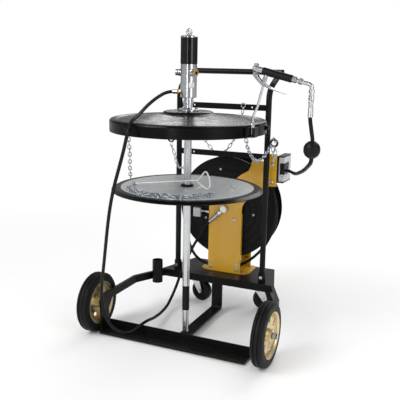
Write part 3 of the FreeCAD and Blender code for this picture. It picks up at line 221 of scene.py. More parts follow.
def metal(name, color, rough, var=0.06, brushed=None, spangle=0.0, tint=None, peel=0.00006,
          dirt=0.35, metallic=1.0):
    """Plated or bare metal with uneven tone and soft grime.

    var: swing of the roughness; brushed: stretch of the brush marks, by axis;
    spangle: strength of the crystal pattern; tint: colour of the plating's cast.
    """
    surf = Surface(name, metal=metallic, rough=rough)
    low, high = scaled(color, 0.78), scaled(color, 1.08)
    body = surf.mix(surf.noise(scale=38, detail=5, roughness=0.6), low, high)
    if spangle:
        cells = surf.add("ShaderNodeTexVoronoi", {"Scale": 95, "Vector": surf.position})
        tone = surf.add("ShaderNodeRGBToBW", {0: cells.outputs["Color"]}).outputs[0]
        body = surf.mix(spangle, body, surf.mix(tone, low, high))
    if tint:
        cast = surf.patches(start=0.42, end=0.66, top=0.5,
                            scale=55, detail=3, roughness=0.5, distortion=1.4)
        body = surf.mix(cast, body, tint)
    grime = surf.patches(start=0.58, end=0.8, top=dirt, scale=24, detail=8, roughness=0.7)
    body = surf.mix(grime, body, scaled(color, 0.45))
    if brushed:
        stretched = surf.mapping(scale=brushed)
        marks = surf.noise(scale=1.0, detail=4, roughness=0.6, vector=stretched)
        relief, distance, strength = marks, 0.00004, 0.1
    else:
        marks = surf.noise(scale=120, detail=4)
        relief, distance, strength = surf.noise(scale=420, detail=3), peel, 0.5
    uneven = surf.spread(marks, low=rough - var, high=rough + var)
    surf.shade(body, surf.math("ADD", uneven, surf.math("MULTIPLY", grime, 0.25)))
    surf.bump(relief, distance, strength, bevel=0.0005)
    return surf.material


def hose_rubber(name, base, rough):
    """Smooth rubber, slightly uneven, with dull patches."""
    surf = Surface(name, rough=rough, specular=0.2)
    tone = surf.noise(scale=40, detail=5)
    scuff = surf.patches(start=0.66, end=0.82, top=0.35, scale=110, detail=8, roughness=0.8)
    surf.shade(
        color=surf.layered(tone, scaled((base,) * 3, 0.8),
                           (base * 1.7, base * 1.7, base * 1.75), scuff, (0.02, 0.02, 0.02)),
        rough=surf.spread(tone, low=rough - 0.08, high=rough + 0.1))
    surf.grain(scale=900, detail=2, distance=0.0001, strength=0.5)
    surf.grain(scale=170, detail=3, distance=0.0003, strength=0.3)
    return surf.material


def tyre_rubber():
    """Moulded solid rubber: fine grain and grey scuffs."""
    surf = Surface("tyre_rubber", rough=0.55, specular=0.16)
    tone = surf.noise(scale=26, detail=6, roughness=0.6)
    scuff = surf.patches(start=0.6, end=0.8, top=0.5, scale=75, detail=9, roughness=0.8)
    surf.shade(
        color=surf.layered(tone, (0.0035, 0.0035, 0.0038), (0.009, 0.009, 0.0095),
                           scuff, (0.03, 0.029, 0.028)),
        rough=surf.spread(tone, low=0.42, high=0.62))
    surf.grain(scale=1100, detail=2, distance=0.00018, strength=0.6, bevel=0.001)
    surf.grain(scale=140, detail=5, roughness=0.6, distance=0.0004, strength=0.25)
    return surf.material


def yellow_paint():
    """Glossy yellow paint, scuffed and worn at the edges."""
    surf = Surface("reel_yellow", rough=0.3, coat=0.45, coat_rough=0.09)
    tone = surf.noise(scale=7, detail=4)
    scuff = surf.patches(start=0.68, end=0.84, top=0.3, scale=80, detail=9, roughness=0.78)
    body = surf.layered(tone, (0.58, 0.30, 0.010), (0.72, 0.395, 0.014),
                        scuff, (0.46, 0.25, 0.02))
    worn = surf.rubbed_edges(radius=0.001, scale=120, top=0.8)
    surf.shade(
        color=surf.mix(worn, body, (0.30, 0.19, 0.07)),
        rough=surf.spread(surf.noise(scale=35, detail=4), low=0.24, high=0.38))
    surf.grain(scale=520, detail=2, distance=0.00014, strength=0.45, bevel=0.0008)
    return surf.material


def plastic(name, color, rough, grain=900, depth=0.00016, strength=0.5):
    """Moulded plastic; dark colours reflect less."""
    surf = Surface(name, rough=rough, specular=0.2 if max(color) < 0.05 else 0.5)
    tone = surf.noise(scale=30, detail=5)
    scuff = surf.patches(start=0.64, end=0.82, top=0.3, scale=90, detail=8, roughness=0.8)
    surf.shade(
        color=surf.layered(tone, scaled(color, 0.86), scaled(color, 1.1),
                           scuff, scaled(color, 0.6)),
        rough=surf.spread(tone, low=rough - 0.06, high=rough + 0.08))
    surf.grain(scale=grain, detail=2, distance=depth, strength=strength, bevel=0.0008)
    return surf.material


def dress(material, node_names):
    """Makes a material the only one on each named CAD piece."""
    for name in node_names.split():
        slots = NODES[name].data.materials
        slots.clear()
        slots.append(material)
    return material


NEAR_BLACK = (0.005, 0.005, 0.0055)

BLACK = dress(
    black_coat("black_powder_coat", base=0.0045, rough=0.32, peel=0.00008, dusty=0.2),
    "toe_plate side_arms deck handle_frame gun_holder guide_bracket")
dress(
    black_coat("cover_black", base=0.0025, rough=0.25, peel=0.000006, dusty=0.0,
               specular=0.12),
    "drum_cover")
dress(spool_black(), "spool")
ZINC = dress(
    metal("zinc_plate", (0.66, 0.68, 0.70), rough=0.28, spangle=0.35),
    "fasteners caster_plates caster_fork_left caster_fork_right follower_lugs"
    " reel_spindle inlet_swivel")
ZINC_BLUE = dress(
    metal("zinc_chain", (0.60, 0.63, 0.67), rough=0.24, spangle=0.3, tint=(0.45, 0.5, 0.62)),
    "chains chain_pile")
dress(
    metal("gold_zinc", (0.84, 0.70, 0.44), rough=0.36, spangle=0.15, tint=(0.76, 0.70, 0.48),
          dirt=0.15),
    "rim_left rim_right")
dress(
    metal("polished_steel", (0.66, 0.67, 0.70), rough=0.18, var=0.03, peel=0.000006,
          dirt=0.18),
    "pump_body bung_adapter motor_cap piston_rod hose_elbow swivel_nut gun_pipe")
dress(
    metal("satin_tube", (0.63, 0.65, 0.67), rough=0.27, brushed=(60, 60, 5), dirt=0.2),
    "suction_tube pump_foot")
dress(
    metal("bright_cast", (0.48, 0.49, 0.51), rough=0.26, var=0.05, peel=0.00002),
    "exhaust_muffler gun_body gun_trigger")
BRASS = dress(
    metal("brass", (0.72, 0.47, 0.19), rough=0.24, tint=(0.55, 0.34, 0.16)),
    "brass_fittings")
dress(
    metal("galvanised_sheet", (0.78, 0.82, 0.81), rough=0.36, var=0.05, spangle=0.35,
          dirt=0.12, metallic=0.55),
    "follower_plate")
dress(
    metal("turned_aluminium", (0.70, 0.71, 0.72), rough=0.3, brushed=(8, 8, 700)),
    "air_piston")
dress(metal("spring_steel", (0.22, 0.25, 0.32), rough=0.3), "reel_spring")
dress(
    black_coat("gloss_black", base=0.003, rough=0.14, coat=0.15, peel=0.00003, dusty=0.03,
               specular=0.35),
    "air_cylinder")
dress(
    black_coat("sleeve_black", base=0.004, rough=0.28, peel=0.0001, dusty=0.1),
    "foot_sleeve")
HOSE = dress(
    hose_rubber("hose_rubber", base=0.004, rough=0.42),
    "feed_hose delivery_hose whip_hose hose_stop_ball wound_hose")
LIP_RUBBER = dress(hose_rubber("lip_rubber", base=0.003, rough=0.30), "follower_lip")
dress(tyre_rubber(), "tyre_left tyre_right")
dress(yellow_paint(), "reel_foot front_pedestal rear_pedestal")
dress(
    metal("pale_rod", (0.86, 0.87, 0.88), rough=0.30, dirt=0.1, metallic=0.25,
          peel=0.00001),
    "follower_handle")
dress(
    plastic("roller_grey", (0.60, 0.60, 0.58), rough=0.42),
    "guide_roller_bottom guide_roller_front guide_roller_rear guide_roller_top"
    " guide_roller_frame")
dress(
    plastic("grip_black", NEAR_BLACK, rough=0.42, grain=700, depth=0.0003, strength=0.7),
    "gun_grip")
dress(plastic("knob_black", NEAR_BLACK, rough=0.4), "cover_screws")
dress(plastic("seal_white", (0.78, 0.78, 0.75), rough=0.35), "pump_seals")
dress(
    plastic("caster_black", NEAR_BLACK, rough=0.45),
    "caster_wheel_left caster_wheel_right")
STICKER = plastic("blank_sticker", (0.80, 0.80, 0.79), rough=0.4, grain=1500, depth=0.00003,
                  strength=0.2)
dress(metal("lock_grey", (0.50, 0.52, 0.53), rough=0.38, metallic=0.6), "lock_plunger")


# ------------------------------------ parts of CAD pieces in another material
def paint_faces(node_name, material, test):
    """Gives the faces whose centre (mm) passes the test another material."""
    mesh = NODES[node_name].data
    mesh.materials.append(material)
    index = len(mesh.materials) - 1
    for face in mesh.polygons:
        if test(face.center / MM):
            face.material_index = index


FITTING_START = Vector((REEL_X, 387.5, REEL_Z))
FITTING_AXIS = Vector((-0.72, 0, -0.69)).normalized()
SIDE_PORT_Z = 1018  # fitting on the -X side of the pump body


def on_feed_fitting(centre):
    """The feed hose's end fittings, at the reel and beside the pump."""
    along = (centre - FITTING_START).dot(FITTING_AXIS)
    off_axis = (centre - FITTING_START - FITTING_AXIS * along).length
    at_reel = 37.5 < along < 98.5 and off_axis < 12
    at_pump = -66.7 < centre.x < -45 and abs(centre.y) < 10 and centre.z > 1005
    return at_reel or at_pump


def on_side_port(centre):
    y, z = centre.y, centre.z - SIDE_PORT_Z
    in_block = centre.x < -29 and abs(y) < 15.3 and abs(z) < 15.3
    return in_block and (centre.x < -35 or y ** 2 + z ** 2 > 200)


paint_faces("feed_hose", ZINC_BLUE, on_feed_fitting)
paint_faces("pump_body", BRASS, on_side_port)
paint_faces("side_arms", ZINC, lambda centre: abs(centre.x) > 401)


# --------------------------------------------------------- mesh building
class Shape:
    """Vertices (metres) and faces of a mesh being built."""

    def __init__(self):
        self.verts = []
        self.faces = []


def link_object(name, data):
    obj = bpy.data.objects.new(name, data)
    bpy.context.scene.collection.objects.link(obj)
    return obj


def new_object(name, shape, material, body, replaces=None):
    """Makes a smooth object; body None leaves it riding on nothing."""
    mesh = bpy.data.meshes.new(name)
    mesh.from_pydata([tuple(vert) for vert in shape.verts], [], shape.faces)
    mesh.validate()
    work = bmesh.new()
    work.from_mesh(mesh)
    bmesh.ops.recalc_face_normals(work, faces=work.faces)
    work.to_mesh(mesh)
    work.free()
    for face in mesh.polygons:
        face.use_smooth = True
    obj = link_object(name, mesh)
    mesh.materials.append(material)
    if body:
        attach(obj, body)
    if replaces:
        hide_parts(replaces)
    return obj


def skin_rings(shape, base, rings, segments, closed=False, shift=0):
    """Joins rings of vertices from base on; a closed run joins its ends, turned by shift."""
    starts = [base + i * segments for i in range(rings)]
    joins = [(a, b, 0) for a, b in zip(starts, starts[1:])]
    if closed:
        joins.append((starts[-1], starts[0], shift))
    for a, b, turn in joins:
        for k in range(segments):
            after = (k + 1) % segments
            shape.faces.append((a + k, a + after,
                                b + (after + turn) % segments, b + (k + turn) % segments))
    if not closed:
        shape.faces.append(tuple(starts[0] + k for k in range(segments))[::-1])
        shape.faces.append(tuple(starts[-1] + k for k in range(segments)))


def add_tube(shape, path, radius, segments, closed=False):
    """A round tube along points (mm), kept from twisting; radius may be a list."""
    count = len(path)
    points = [Vector(point) for point in path]
    radii = [radius] * count if isinstance(radius, (int, float)) else radius
    tangents = []
    for i in range(count):
        before = points[(i - 1) % count] if closed or i > 0 else points[i]
        after = points[(i + 1) % count] if closed or i < count - 1 else points[i]
        tangents.append((after - before).normalized())
    up = Vector((0, 0, 1)) if abs(tangents[0].z) < 0.9 else Vector((1, 0, 0))
    side = tangents[0].cross(up).normalized()
    sides = []
    base = len(shape.verts)
    for i, tangent in enumerate(tangents):
        if i:
            side = (tangents[i - 1].rotation_difference(tangent) @ side).normalized()
        side = (side - tangent * side.dot(tangent)).normalized()
        sides.append(side.copy())
        other = tangent.cross(side)
        for k in range(segments):
            angle = 2 * math.pi * k / segments
            around = side * math.cos(angle) + other * math.sin(angle)
            shape.verts.append((points[i] + around * radii[i]) * MM)
    shift = 0
    if closed:
        end = tangents[-1].rotation_difference(tangents[0]) @ sides[-1]
        twist = math.atan2(end.dot(tangents[0].cross(sides[0])), end.dot(sides[0]))
        shift = int(round(twist / (2 * math.pi / segments)))
    skin_rings(shape, base, count, segments, closed, shift)


def add_turned(shape, stations, segments):
    """A round piece from stations of (x, y, z, radius)."""
    add_tube(shape, [row[:3] for row in stations], [row[3] for row in stations], segments)


def add_eye(shape, centre, radius, wire_radius, steps, segments):
    """A wire ring standing in an XZ plane."""
    x, y, z = centre
    angles = [2 * math.pi * k / steps for k in range(steps)]
    ring = [Vector((x + radius * math.cos(a), y, z + radius * math.sin(a))) for a in angles]
    add_tube(shape, ring, wire_radius, segments, closed=True)


def smooth_path(points, steps=14):
    """Catmull-Rom curve through points (mm)."""
    knots = [Vector(point) for point in points]
    knots = [knots[0] * 2 - knots[1]] + knots + [knots[-1] * 2 - knots[-2]]
    curve = []
    for p0, p1, p2, p3 in zip(knots, knots[1:], knots[2:], knots[3:]):
        for k in range(steps):
            t = k / steps
            curve.append(0.5 * (
                (2 * p1) + (p2 - p0) * t + (2 * p0 - 5 * p1 + 4 * p2 - p3) * t * t
                + (3 * p1 - p0 - 3 * p2 + p3) * t ** 3))
    curve.append(knots[-2])
    return curve


def resample(path, step):
    """Evenly spaced points along a path, about one step apart."""
    run = [0.0]
    for a, b in zip(path, path[1:]):
        run.append(run[-1] + (b - a).length)
    count = max(2, int(round(run[-1] / step)) + 1)
    points, j = [], 0
    for i in range(count):
        goal = run[-1] * i / (count - 1)
        while j < len(run) - 2 and run[j + 1] < goal:
            j += 1
        t = (goal - run[j]) / max(1e-9, run[j + 1] - run[j])
        points.append(path[j].lerp(path[j + 1], t))
    return points


# ---------------------------------------------------------------- chains
LINK_LENGTH, LINK_WIDTH, LINK_WIRE = 28.0, 15.0, 3.4
LINK_PITCH = LINK_LENGTH - 2 * LINK_WIRE + 0.3


def add_link(shape, centre, along, side):
    """One oval chain link."""
    wire_radius = LINK_WIRE / 2
    bend = LINK_WIDTH / 2 - wire_radius
    straight = LINK_LENGTH / 2 - wire_radius - bend
    path = []
    for end, start in ((straight, 0), (-straight, math.pi)):
        for k in range(9):
            angle = start + math.pi * k / 8
            path.append(centre + along * (end + bend * math.sin(angle))
                        + side * (bend * math.cos(angle)))
    add_tube(shape, path, wire_radius, segments=10, closed=True)


def add_chain(shape, points, seed, wobble, roll=0.0):
    """Links along a path, turned 90 degrees by turns, each off by up to wobble degrees."""
    rng = np.random.default_rng(seed)
    path = resample(points, LINK_PITCH)
    side = None
    for i, (start, end) in enumerate(zip(path, path[1:])):
        along = (end - start).normalized()
        if side is None:
            side = along.cross(Vector((0, 0, 1)))
            if side.length < 0.2:
                side = along.cross(Vector((0, 1, 0)))
            side.normalize()
        side = (side - along * side.dot(along)).normalized()
        turn = roll + (90 if i % 2 else 0) + rng.uniform(-wobble, wobble)
        link_side = Quaternion(along, math.radians(turn)) @ side
        add_link(shape, (start + end) / 2, along, link_side)


# Hanging chains: name, then runs of (seed, wobble, points)
HANGING_CHAINS = {
    "link_chain_left": [
        (3, 10, [(-101, -287, 866), (-128, -232, 800), (-160, -176, 734), (-184, -128, 683)]),
    ],
    "link_chain_rear": [
        (5, 6, [(-150, 347.4, 937), (-124, 355, 869), (-89, 365, 794), (-54, 368.5, 752),
                (-16, 368.5, 726), (16, 368.5, 749), (54, 365, 803), (80, 356, 868),
                (98, 347.4, 937)]),
    ],
    "link_chain_post": [
        (7, 10, [(-243, 334, 776), (-239, 329, 766), (-229, 329, 744), (-218, 329, 715),
                 (-211, 329, 686), (-197, 329, 662), (-178, 329, 659), (-158, 329, 669)]),
    ],
    "link_chain_right": [
        (9, 10, [(279, -105, 866), (271, -60, 826), (261, 20, 781), (252, 110, 754),
                 (246, 200, 757), (242, 270, 779), (241, 318, 800)]),
    ],
    "link_chain_tail": [
        (11, 10, [(250, 330, 792), (256, 329, 770), (253, 330, 746), (248, 330, 722)]),
        (12, 10, [(243, 329, 786), (246, 326, 764), (245, 327, 744)]),
        (13, 20, [(232, 329, 812), (240, 327, 822), (250, 328, 818), (256, 330, 806)]),
    ],
}
for name, runs in HANGING_CHAINS.items():
    shape = Shape()
    for seed, wobble, points in runs:
        add_chain(shape, smooth_path(points), seed, wobble)
    new_object(name, shape, ZINC_BLUE, "root")

# Eye bolts through the upper cross bar; shank stations are (y, radius)
EYE_SHANK_Z = 944
EYE_SHANK = [(349.4, 2.4), (352.9, 2.4), (353.0, 2.6), (359.2, 2.6), (359.3, 5.4),
             (364.5, 5.4), (365.5, 3.6)]


def build_eye_bolts():
    shape = Shape()
    for x in (-150, 98):
        add_eye(shape, (x, 347.2, 952), radius=9.5, wire_radius=2.4, steps=36, segments=12)
        add_turned(shape, [(x, y, EYE_SHANK_Z, r) for y, r in EYE_SHANK], segments=16)
    new_object("chain_hooks", shape, ZINC_BLUE, "root", replaces="chains")


def build_post_rings():
    """Black rings at the two posts, each with a short stub."""
    shape = Shape()
    add_eye(shape, (245, 338, 800), radius=14.5, wire_radius=4.6, steps=48, segments=16)
    add_eye(shape, (-243, 340, 788), radius=13.5, wire_radius=3.8, steps=48, segments=16)
    add_turned(shape, [(-229, 341, 790, 3.6), (-224, 345, 791, 4.2), (-219, 349, 792, 5.2)],
               segments=14)
    add_turned(shape, [(233, 338, 788, 3), (231.3, 338, 794, 4.2), (230.6, 338, 800, 4.8),
                       (231.3, 338, 806, 4.2), (233, 338, 812, 3)], segments=14)
    new_object("chain_ring", shape, BLACK, "root")


build_eye_bolts()
build_post_rings()

# ---------------------------------------------------------- hoses to the gun
HOSE_STEPS = 12  # curve steps between hose points
DELIVERY_POINTS = [
    (-213, 442, 520), (-222, 442, 420), (-204, 441, 320), (-172, 434, 246), (-134, 430, 209),
    (-80, 430, 191), (0, 430, 190), (72, 430, 208), (128, 432, 244), (180, 437, 301),
    (212, 441, 360), (236, 443, 430), (234, 444, 510), (214, 446, 578), (202, 450, 612),
    (207, 456, 643), (224, 458, 662), (248, 458, 667), (274, 456, 667), (298, 432, 667),
    (326, 370, 673), (364, 280, 688), (404, 180, 711), (453, 60, 743), (490, -30, 773),
    (511, -82, 792), (518, -98.5, 804), (519.5, -103, 812), (519.5, -103, 818),
]
DELIVERY_RADIUS = 6.5
DELIVERY_SWELL = 0.9  # added to the radius just after SWELL_POINT
SWELL_POINT = 19
WHIP_POINTS = [(519.5, -103, 871), (519.5, -103, 882), (513.4, -103, 915),
               (508.3, -103, 945), (508, -103, 957)]


def build_delivery_hose():
    """From the reel, under it and through the roller guide to the stop ball."""
    path = smooth_path(DELIVERY_POINTS, HOSE_STEPS)
    first = SWELL_POINT * HOSE_STEPS
    radii = [DELIVERY_RADIUS + DELIVERY_SWELL * min(1.0, max(0.0, (i - first) / HOSE_STEPS))
             for i in range(len(path))]
    shape = Shape()
    add_tube(shape, path, radii, segments=22)
    new_object("delivery_hose_run", shape, HOSE, "root",
               replaces="delivery_hose")


def build_whip_hose():
    """From the ball to the gun, attached to no body."""
    shape = Shape()
    add_tube(shape, smooth_path(WHIP_POINTS, HOSE_STEPS), 6.9, segments=24)
    whip = new_object("whip_hose_free", shape, HOSE, None)
    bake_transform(whip)
    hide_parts("whip_hose")


def build_whip_ferrule():
    """Turned sleeve at the gun end, with four grooves."""
    profile = [(954, 7.3), (954.4, 7.9), (956, 9.2)]  # z, radius
    for k in range(4):
        z = 960 + 6.5 * k
        profile += [(z, 9.2), (z + 0.8, 8.5), (z + 2.4, 8.5), (z + 3.2, 9.2)]
    profile += [(984, 9.2), (987, 8), (1001, 8), (1002, 9), (1008, 9), (1012, 8.6)]
    x, y, _ = WHIP_POINTS[-1]
    shape = Shape()
    add_turned(shape, [(x, y, z, radius) for z, radius in profile], segments=36)
    new_object("whip_ferrule", shape, ZINC, "gun")


build_delivery_hose()
build_whip_hose()
build_whip_ferrule()

# Dark wear liner round a corner of the roller frame: (low, high) in x, y and z
LINER_PLATES = [
    ((254.5, 273.9), (408.0, 408.9), (655, 705)),
    ((273.05, 273.9), (408.9, 444.5), (655, 705)),
    ((273.05, 273.9), (444.5, 471.5), (692.5, 705)),
    ((273.05, 273.9), (471.5, 477), (655, 705)),
]


def add_plate(shape, spans, chamfer=0.25):
    """A thin plate with chamfered edges, in mm."""
    work = bmesh.new()
    bmesh.ops.create_cube(work, size=1.0)
    for vert in work.verts:
        vert.co = Vector([(low + high) / 2 + part * (high - low)
                          for part, (low, high) in zip(vert.co, spans)]) * MM
    bmesh.ops.bevel(work, geom=list(work.edges), offset=chamfer * MM, segments=2,
                    affect="EDGES", profile=0.6)
    base = len(shape.verts)
    work.verts.index_update()
    shape.verts.extend([vert.co.copy() for vert in work.verts])
    shape.faces.extend([[base + vert.index for vert in face.verts] for face in work.faces])
    work.free()


liner = Shape()
for spans in LINER_PLATES:
    add_plate(liner, spans)
new_object("guide_wear_liner", liner, LIP_RUBBER, "root")

# ----------------------------------------- loose chain on the follower plate
PILE_STEP = 3.0
PILE_POINTS = [  # x, y
    (-190, -118), (-186, -150), (-150, -190), (-108, -222), (-60, -241), (-8, -247),
    (42, -243), (88, -228), (126, -202), (152, -168), (162, -132), (148, -108),
]
# Layers: first and last step, scale about the Z axis, fade-in length, then waves of
# (height, stretch, phase) in x and y, lift, wave in z, roll, wobble, seed
PILE_LAYERS = [
    (0, None, 1.0, 60.0, (5, 17.0, 0), (5, 11.0, 1.0), 3.6, (0, 1.0, 0), 45, 8, 22),
    (34, -6, 0.97, None, (7, 14.0, 2), (6, 9.0, 0), 9.5, (1.5, 21.0, 0), 40, 14, 23),
    (70, -2, 0.92, None, (6, 12.0, 4), (6, 8.0, 2), 4.2, (1.0, 19.0, 0), 50, 16, 24),
]


def wave(spec, run, ease=1.0):
    height, stretch, phase = spec
    return height * ease * math.sin(run / stretch + phase)


def build_chain_pile():
    """Wandering links, heaped in layers."""
    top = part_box("follower_plate")[1].z / MM - 2.0
    steps = resample(smooth_path([(x, y, 0) for x, y in PILE_POINTS]), PILE_STEP)
    shape = Shape()
    for first, last, scale, fade, in_x, in_y, lift, in_z, roll, wobble, seed in PILE_LAYERS:
        path = []
        for i, point in enumerate(steps[first:last]):
            run = i * PILE_STEP
            ease = min(1.0, run / fade) if fade else 1.0
            path.append(point * scale + Vector((
                wave(in_x, run, ease), wave(in_y, run, ease), top + lift + wave(in_z, run))))
        add_chain(shape, path, seed, wobble, roll)
    new_object("chain_pile_links", shape, ZINC_BLUE, "follower",
               replaces="chain_pile")


build_chain_pile()

# ------------------------------------------------------------------ reel
REEL_STEPS = 96  # steps per turn
TURN_PITCH = 13.4
HOSE_LAYERS = [(204.6, 437.8, 5), (191.5, 444.3, 4), (178.5, 437.8, 5)]  # radius, y, turns
CORE_PROFILE = [(63, 431), (176, 431), (184, 436), (184, 508), (176, 513), (63, 513)]  # r, y


def around_reel(radius, y, angle):
    return Vector((REEL_X + radius * math.cos(angle), y, REEL_Z + radius * math.sin(angle)))


def build_wound_hose():
    """Three layers of turns round a solid core."""
    shape = Shape()
    for radius, y, turns in HOSE_LAYERS:
        path = []
        for k in range(turns * REEL_STEPS + 1):
            turn = k / REEL_STEPS
            path.append(around_reel(radius, y + TURN_PITCH * turn, 2 * math.pi * turn))
        add_tube(shape, path, 6.4, segments=12)
    base = len(shape.verts)
    for k in range(REEL_STEPS):
        angle = 2 * math.pi * k / REEL_STEPS
        for radius, y in CORE_PROFILE:
            shape.verts.append(around_reel(radius, y, angle) * MM)
    skin_rings(shape, base, REEL_STEPS, len(CORE_PROFILE), closed=True)
    new_object("wound_hose_turns", shape, HOSE, "reel_spool",
               replaces="wound_hose")


def add_dome_bolt(shape, place, facing, radius=6.5, height=3.6, flange=8.2):
    """Domed, flanged bolt head with a hexagon socket; facing is its side in y, -1 or 1."""
    segments = 24
    seat = 1.3  # top of the flange
    place, axis = Vector(place), Vector((0, facing, 0))
    side = axis.orthogonal().normalized()
    other = axis.cross(side)
    angles = [2 * math.pi * k / segments for k in range(segments)]
    hexagon = [math.cos(math.pi / 6) / math.cos(angle % (math.pi / 3) - math.pi / 6)
               for angle in angles]
    profile = [  # radius, height above the place
        (flange, -0.6), (flange, 0.9), (flange - 0.5, 1.2), (radius, seat),
        (radius - 0.2, seat + height * 0.35), (radius * 0.86, seat + height * 0.7),
        (radius * 0.62, seat + height * 0.92), (radius * 0.44, seat + height),
        (radius * 0.4, seat + height * 0.98),
    ]
    rings = [([ring_radius] * segments, lift) for ring_radius, lift in profile]
    socket = [radius * 0.36 * factor for factor in hexagon]
    rings += [(socket, seat + height * 0.96), (socket, seat + height * 0.3)]
    base = len(shape.verts)
    for radii, lift in rings:
        for angle, reach in zip(angles, radii):
            around = side * math.cos(angle) + other * math.sin(angle)
            shape.verts.append((place + axis * lift + around * reach) * MM)
    skin_rings(shape, base, len(rings), segments)


def build_reel_bolts():
    """Bolt heads on the pedestals and on both faces of the spool."""
    shape = Shape()
    for x, z in ((47, 428), (221, 696), (221, 621)):
        add_dome_bolt(shape, (x, 401.0, z), -1)
    for x, z in ((50, 500), (-38, 500)):
        add_dome_bolt(shape, (x, 553.0, z), 1)
    new_object("pedestal_bolts", shape, ZINC, "root")
    shape = Shape()
    for x, z in ((134, 456), (-31, 653), (-99, 417)):
        for y, facing in ((424.3, -1), (519.7, 1)):
            add_dome_bolt(shape, (x, y, z), facing, radius=4.6, height=2.6, flange=6)
    new_object("spool_bolts", shape, ZINC, "reel_spool")


build_wound_hose()
build_reel_bolts()


# --------------------------------------------------------------- sticker
def build_sticker():
    """A blank sticker with rounded corners, wrapped on the pump body's -Y, +X side."""
    body_radius, corner = 31.5, 3.0
    angle_low, angle_high = -64, -22  # degrees from +X
    z_low, z_high = 1034, 1056
    rows, columns = 8, 16
    shape = Shape()
    for radius in (body_radius + 0.02, body_radius + 0.25):  # back, face
        for j in range(rows + 1):
            z = z_low + (z_high - z_low) * j / rows
            edge = min(z - z_low, z_high - z)
            pull = 0
            if edge < corner:
                pull = corner - math.sqrt(max(0.0, corner ** 2 - (corner - edge) ** 2))
            inset = math.degrees(pull / body_radius)
            start, end = angle_low + inset, angle_high - inset
            for i in range(columns + 1):
                angle = math.radians(start + (end - start) * (i / columns))
                shape.verts.append(
                    Vector((radius * math.cos(angle), radius * math.sin(angle), z)) * MM)
    width = columns + 1
    face = width * (rows + 1)  # first vertex of the outer face
    for j in range(rows):
        for i in range(columns):
            q = j * width + i
            shape.faces.append((face + q, face + q + 1, face + q + width + 1, face + q + width))
            shape.faces.append((q, q + width, q + width + 1, q + 1))
    rim = list(range(width))
    rim += [j * width + columns for j in range(1, rows + 1)]
    rim += [rows * width + i for i in range(columns - 1, -1, -1)]
    rim += [j * width for j in range(rows - 1, 0, -1)]
    for a, b in zip(rim, rim[1:] + rim[:1]):
        shape.faces.append((a, b, face + b, face + a))
    new_object("blank_sticker", shape, STICKER, "root")


build_sticker()


# ------------------------------------------------------- floor and world
def floor_white():
    """Matt white that fades, for the camera only, to pure white far out."""
    surf = Surface("floor_white", color=(0.88, 0.88, 0.88), rough=0.85)
    tone = surf.noise(scale=2.0, detail=3)
    white = surf.mix(tone, (0.90, 0.90, 0.90), (0.93, 0.93, 0.93))
    surf.feed(surf.shader, {"Base Color": white})
    length = surf.add("ShaderNodeVectorMath", {0: surf.position}, operation="LENGTH")
    far = surf.rise(length.outputs["Value"], start=0.9, end=2.6)
    glow = surf.add("ShaderNodeEmission", {"Color": (1, 1, 1, 1)})
    seen = surf.add("ShaderNodeLightPath").outputs["Is Camera Ray"]
    blend = surf.add("ShaderNodeMixShader", {
        0: surf.math("MULTIPLY", far, seen), 1: surf.shader.outputs[0], 2: glow.outputs[0]})
    surf.feed(surf.tree.nodes["Material Output"], {"Surface": blend.outputs[0]})
    return surf.material


def build_floor():
    work = bmesh.new()
    bmesh.ops.create_grid(work, x_segments=1, y_segments=1, size=30)
    mesh = bpy.data.meshes.new("floor")
    work.to_mesh(mesh)
    work.free()
    floor = link_object("floor", mesh)
    mesh.materials.append(floor_white())


def build_world():
    """White to the camera, a soft grey dome to light, darker with flags to reflections."""
    world = bpy.data.worlds.new("studio")
    bpy.context.scene.world = world
    world.use_nodes = True
    sky = Nodes(world.node_tree)
    background = sky.tree.nodes["Background"]
    direction = sky.add("ShaderNodeTexCoord").outputs["Generated"]
    x, y, z = sky.add("ShaderNodeSeparateXYZ", {0: direction}).outputs
    ramp = sky.add("ShaderNodeValToRGB", {"Fac": sky.remap(z, (-1, 1), (0, 1))})
    stops = ramp.color_ramp.elements
    stops[0].position, stops[0].color = 0.0, (0.90, 0.90, 0.90, 1)
    stops[1].position, stops[1].color = 1.0, (1.0, 1.0, 1.0, 1)
    stops.new(0.55).color = (0.96, 0.96, 0.97, 1)
    glossy = sky.add("ShaderNodeLightPath").outputs["Is Glossy Ray"]
    strength = sky.remap(glossy, (0, 1), (0.66, 0.42))

    def flag(azimuth, outer, inner, dark):
        """1 away from an azimuth, falling to dark near it; outer and inner are cosines."""
        level = sky.add("ShaderNodeCombineXYZ", {0: x, 1: y}).outputs[0]
        unit = sky.add("ShaderNodeVectorMath", {0: level}, operation="NORMALIZE").outputs[0]
        angle = math.radians(azimuth)
        toward = (math.cos(angle), math.sin(angle), 0)
        dot = sky.add("ShaderNodeVectorMath", {0: unit, 1: toward}, operation="DOT_PRODUCT")
        return sky.remap(dot.outputs["Value"], (outer, inner), (1.0, dark),
                         interpolation_type="SMOOTHSTEP")

    first = flag(azimuth=-65, outer=0.86, inner=0.97, dark=0.15)
    second = flag(azimuth=60, outer=0.80, inner=0.95, dark=0.3)
    third = flag(azimuth=165, outer=0.90, inner=0.98, dark=0.4)
    flags = sky.math("MULTIPLY", first, sky.math("MULTIPLY", second, third))
    glossy_flags = sky.add("ShaderNodeMix", {0: glossy, 2: 1.0, 3: flags}, data_type="FLOAT")
    sky.feed(background, {
        "Color": ramp.outputs[0],
        "Strength": sky.math("MULTIPLY", strength, glossy_flags.outputs[0]),
    })
    white = sky.add("ShaderNodeBackground", {"Color": (1, 1, 1, 1)})
    seen = sky.add("ShaderNodeLightPath").outputs["Is Camera Ray"]
    blend = sky.add("ShaderNodeMixShader", {
        0: seen, 1: background.outputs[0], 2: white.outputs[0]})
    sky.feed(sky.tree.nodes["World Output"], {"Surface": blend.outputs[0]})


build_floor()
build_world()


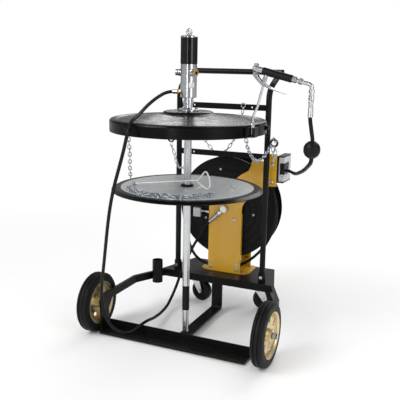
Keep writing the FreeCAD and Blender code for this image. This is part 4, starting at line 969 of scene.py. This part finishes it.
# ---------------------------------------------------------------- lights
def add_area(name, place, target, size, power, size_y=None):
    light = bpy.data.lights.new(name, "AREA")
    light.energy = power
    light.size = size
    if size_y:
        light.shape = "RECTANGLE"
        light.size_y = size_y
    obj = link_object(name, light)
    obj.location = place
    aim = Vector(target) - Vector(place)
    obj.rotation_euler = aim.to_track_quat("-Z", "Y").to_euler()
    return obj


add_area("key", (-1.6, -2.6, 2.9), target=(0, 0, 0.7), size=1.8, power=70)
add_area("fill", (3.0, -1.4, 1.8), target=(0, 0, 0.6), size=1.4, power=30, size_y=2.4)
add_area("rim", (0.4, 2.8, 2.6), target=(0, 0.2, 0.6), size=2.2, power=45)
add_area("strip", (0.2, -3.0, 1.3), target=(0, 0, 0.7), size=0.25, power=9, size_y=1.8)

# A back light for the broad sheen on the drum cover alone
sheen = add_area("sheen", (-1.3, 3.0, 2.15), target=(0.05, -0.1, 0.95), size=1.2, power=11,
                 size_y=0.8)
receivers = bpy.data.collections.new("sheen_receivers")
receivers.objects.link(NODES["drum_cover"])
sheen.light_linking.receiver_collection = receivers

# ---------------------------------------------------------------- camera
CAMERA_PLACE = (1.074512, -2.301550, 1.146750)
CAMERA_FORWARD = (-0.407518, 0.886320, -0.219922)
CAMERA_ROLL = 0.8423  # degrees


def build_camera():
    camera = bpy.data.cameras.new("camera")
    camera.sensor_width = 36.0
    camera.sensor_fit = "HORIZONTAL"
    camera.lens = 58.564575
    camera.shift_x = 0.02311375
    camera.shift_y = 0.01152625
    camera.clip_start = 0.05
    obj = link_object("camera", camera)
    forward = Vector(CAMERA_FORWARD).normalized()
    right = forward.cross(Vector((0, 0, 1))).normalized()
    up = right.cross(forward)
    cos, sin = math.cos(math.radians(CAMERA_ROLL)), math.sin(math.radians(CAMERA_ROLL))
    axes = Matrix((right * cos + up * sin, -right * sin + up * cos, -forward))
    pose = axes.transposed().to_4x4()
    pose.translation = Vector(CAMERA_PLACE)
    obj.matrix_world = pose
    bpy.context.scene.camera = obj


build_camera()
view = bpy.context.scene.view_settings
view.view_transform = "Standard"
view.look = "None"
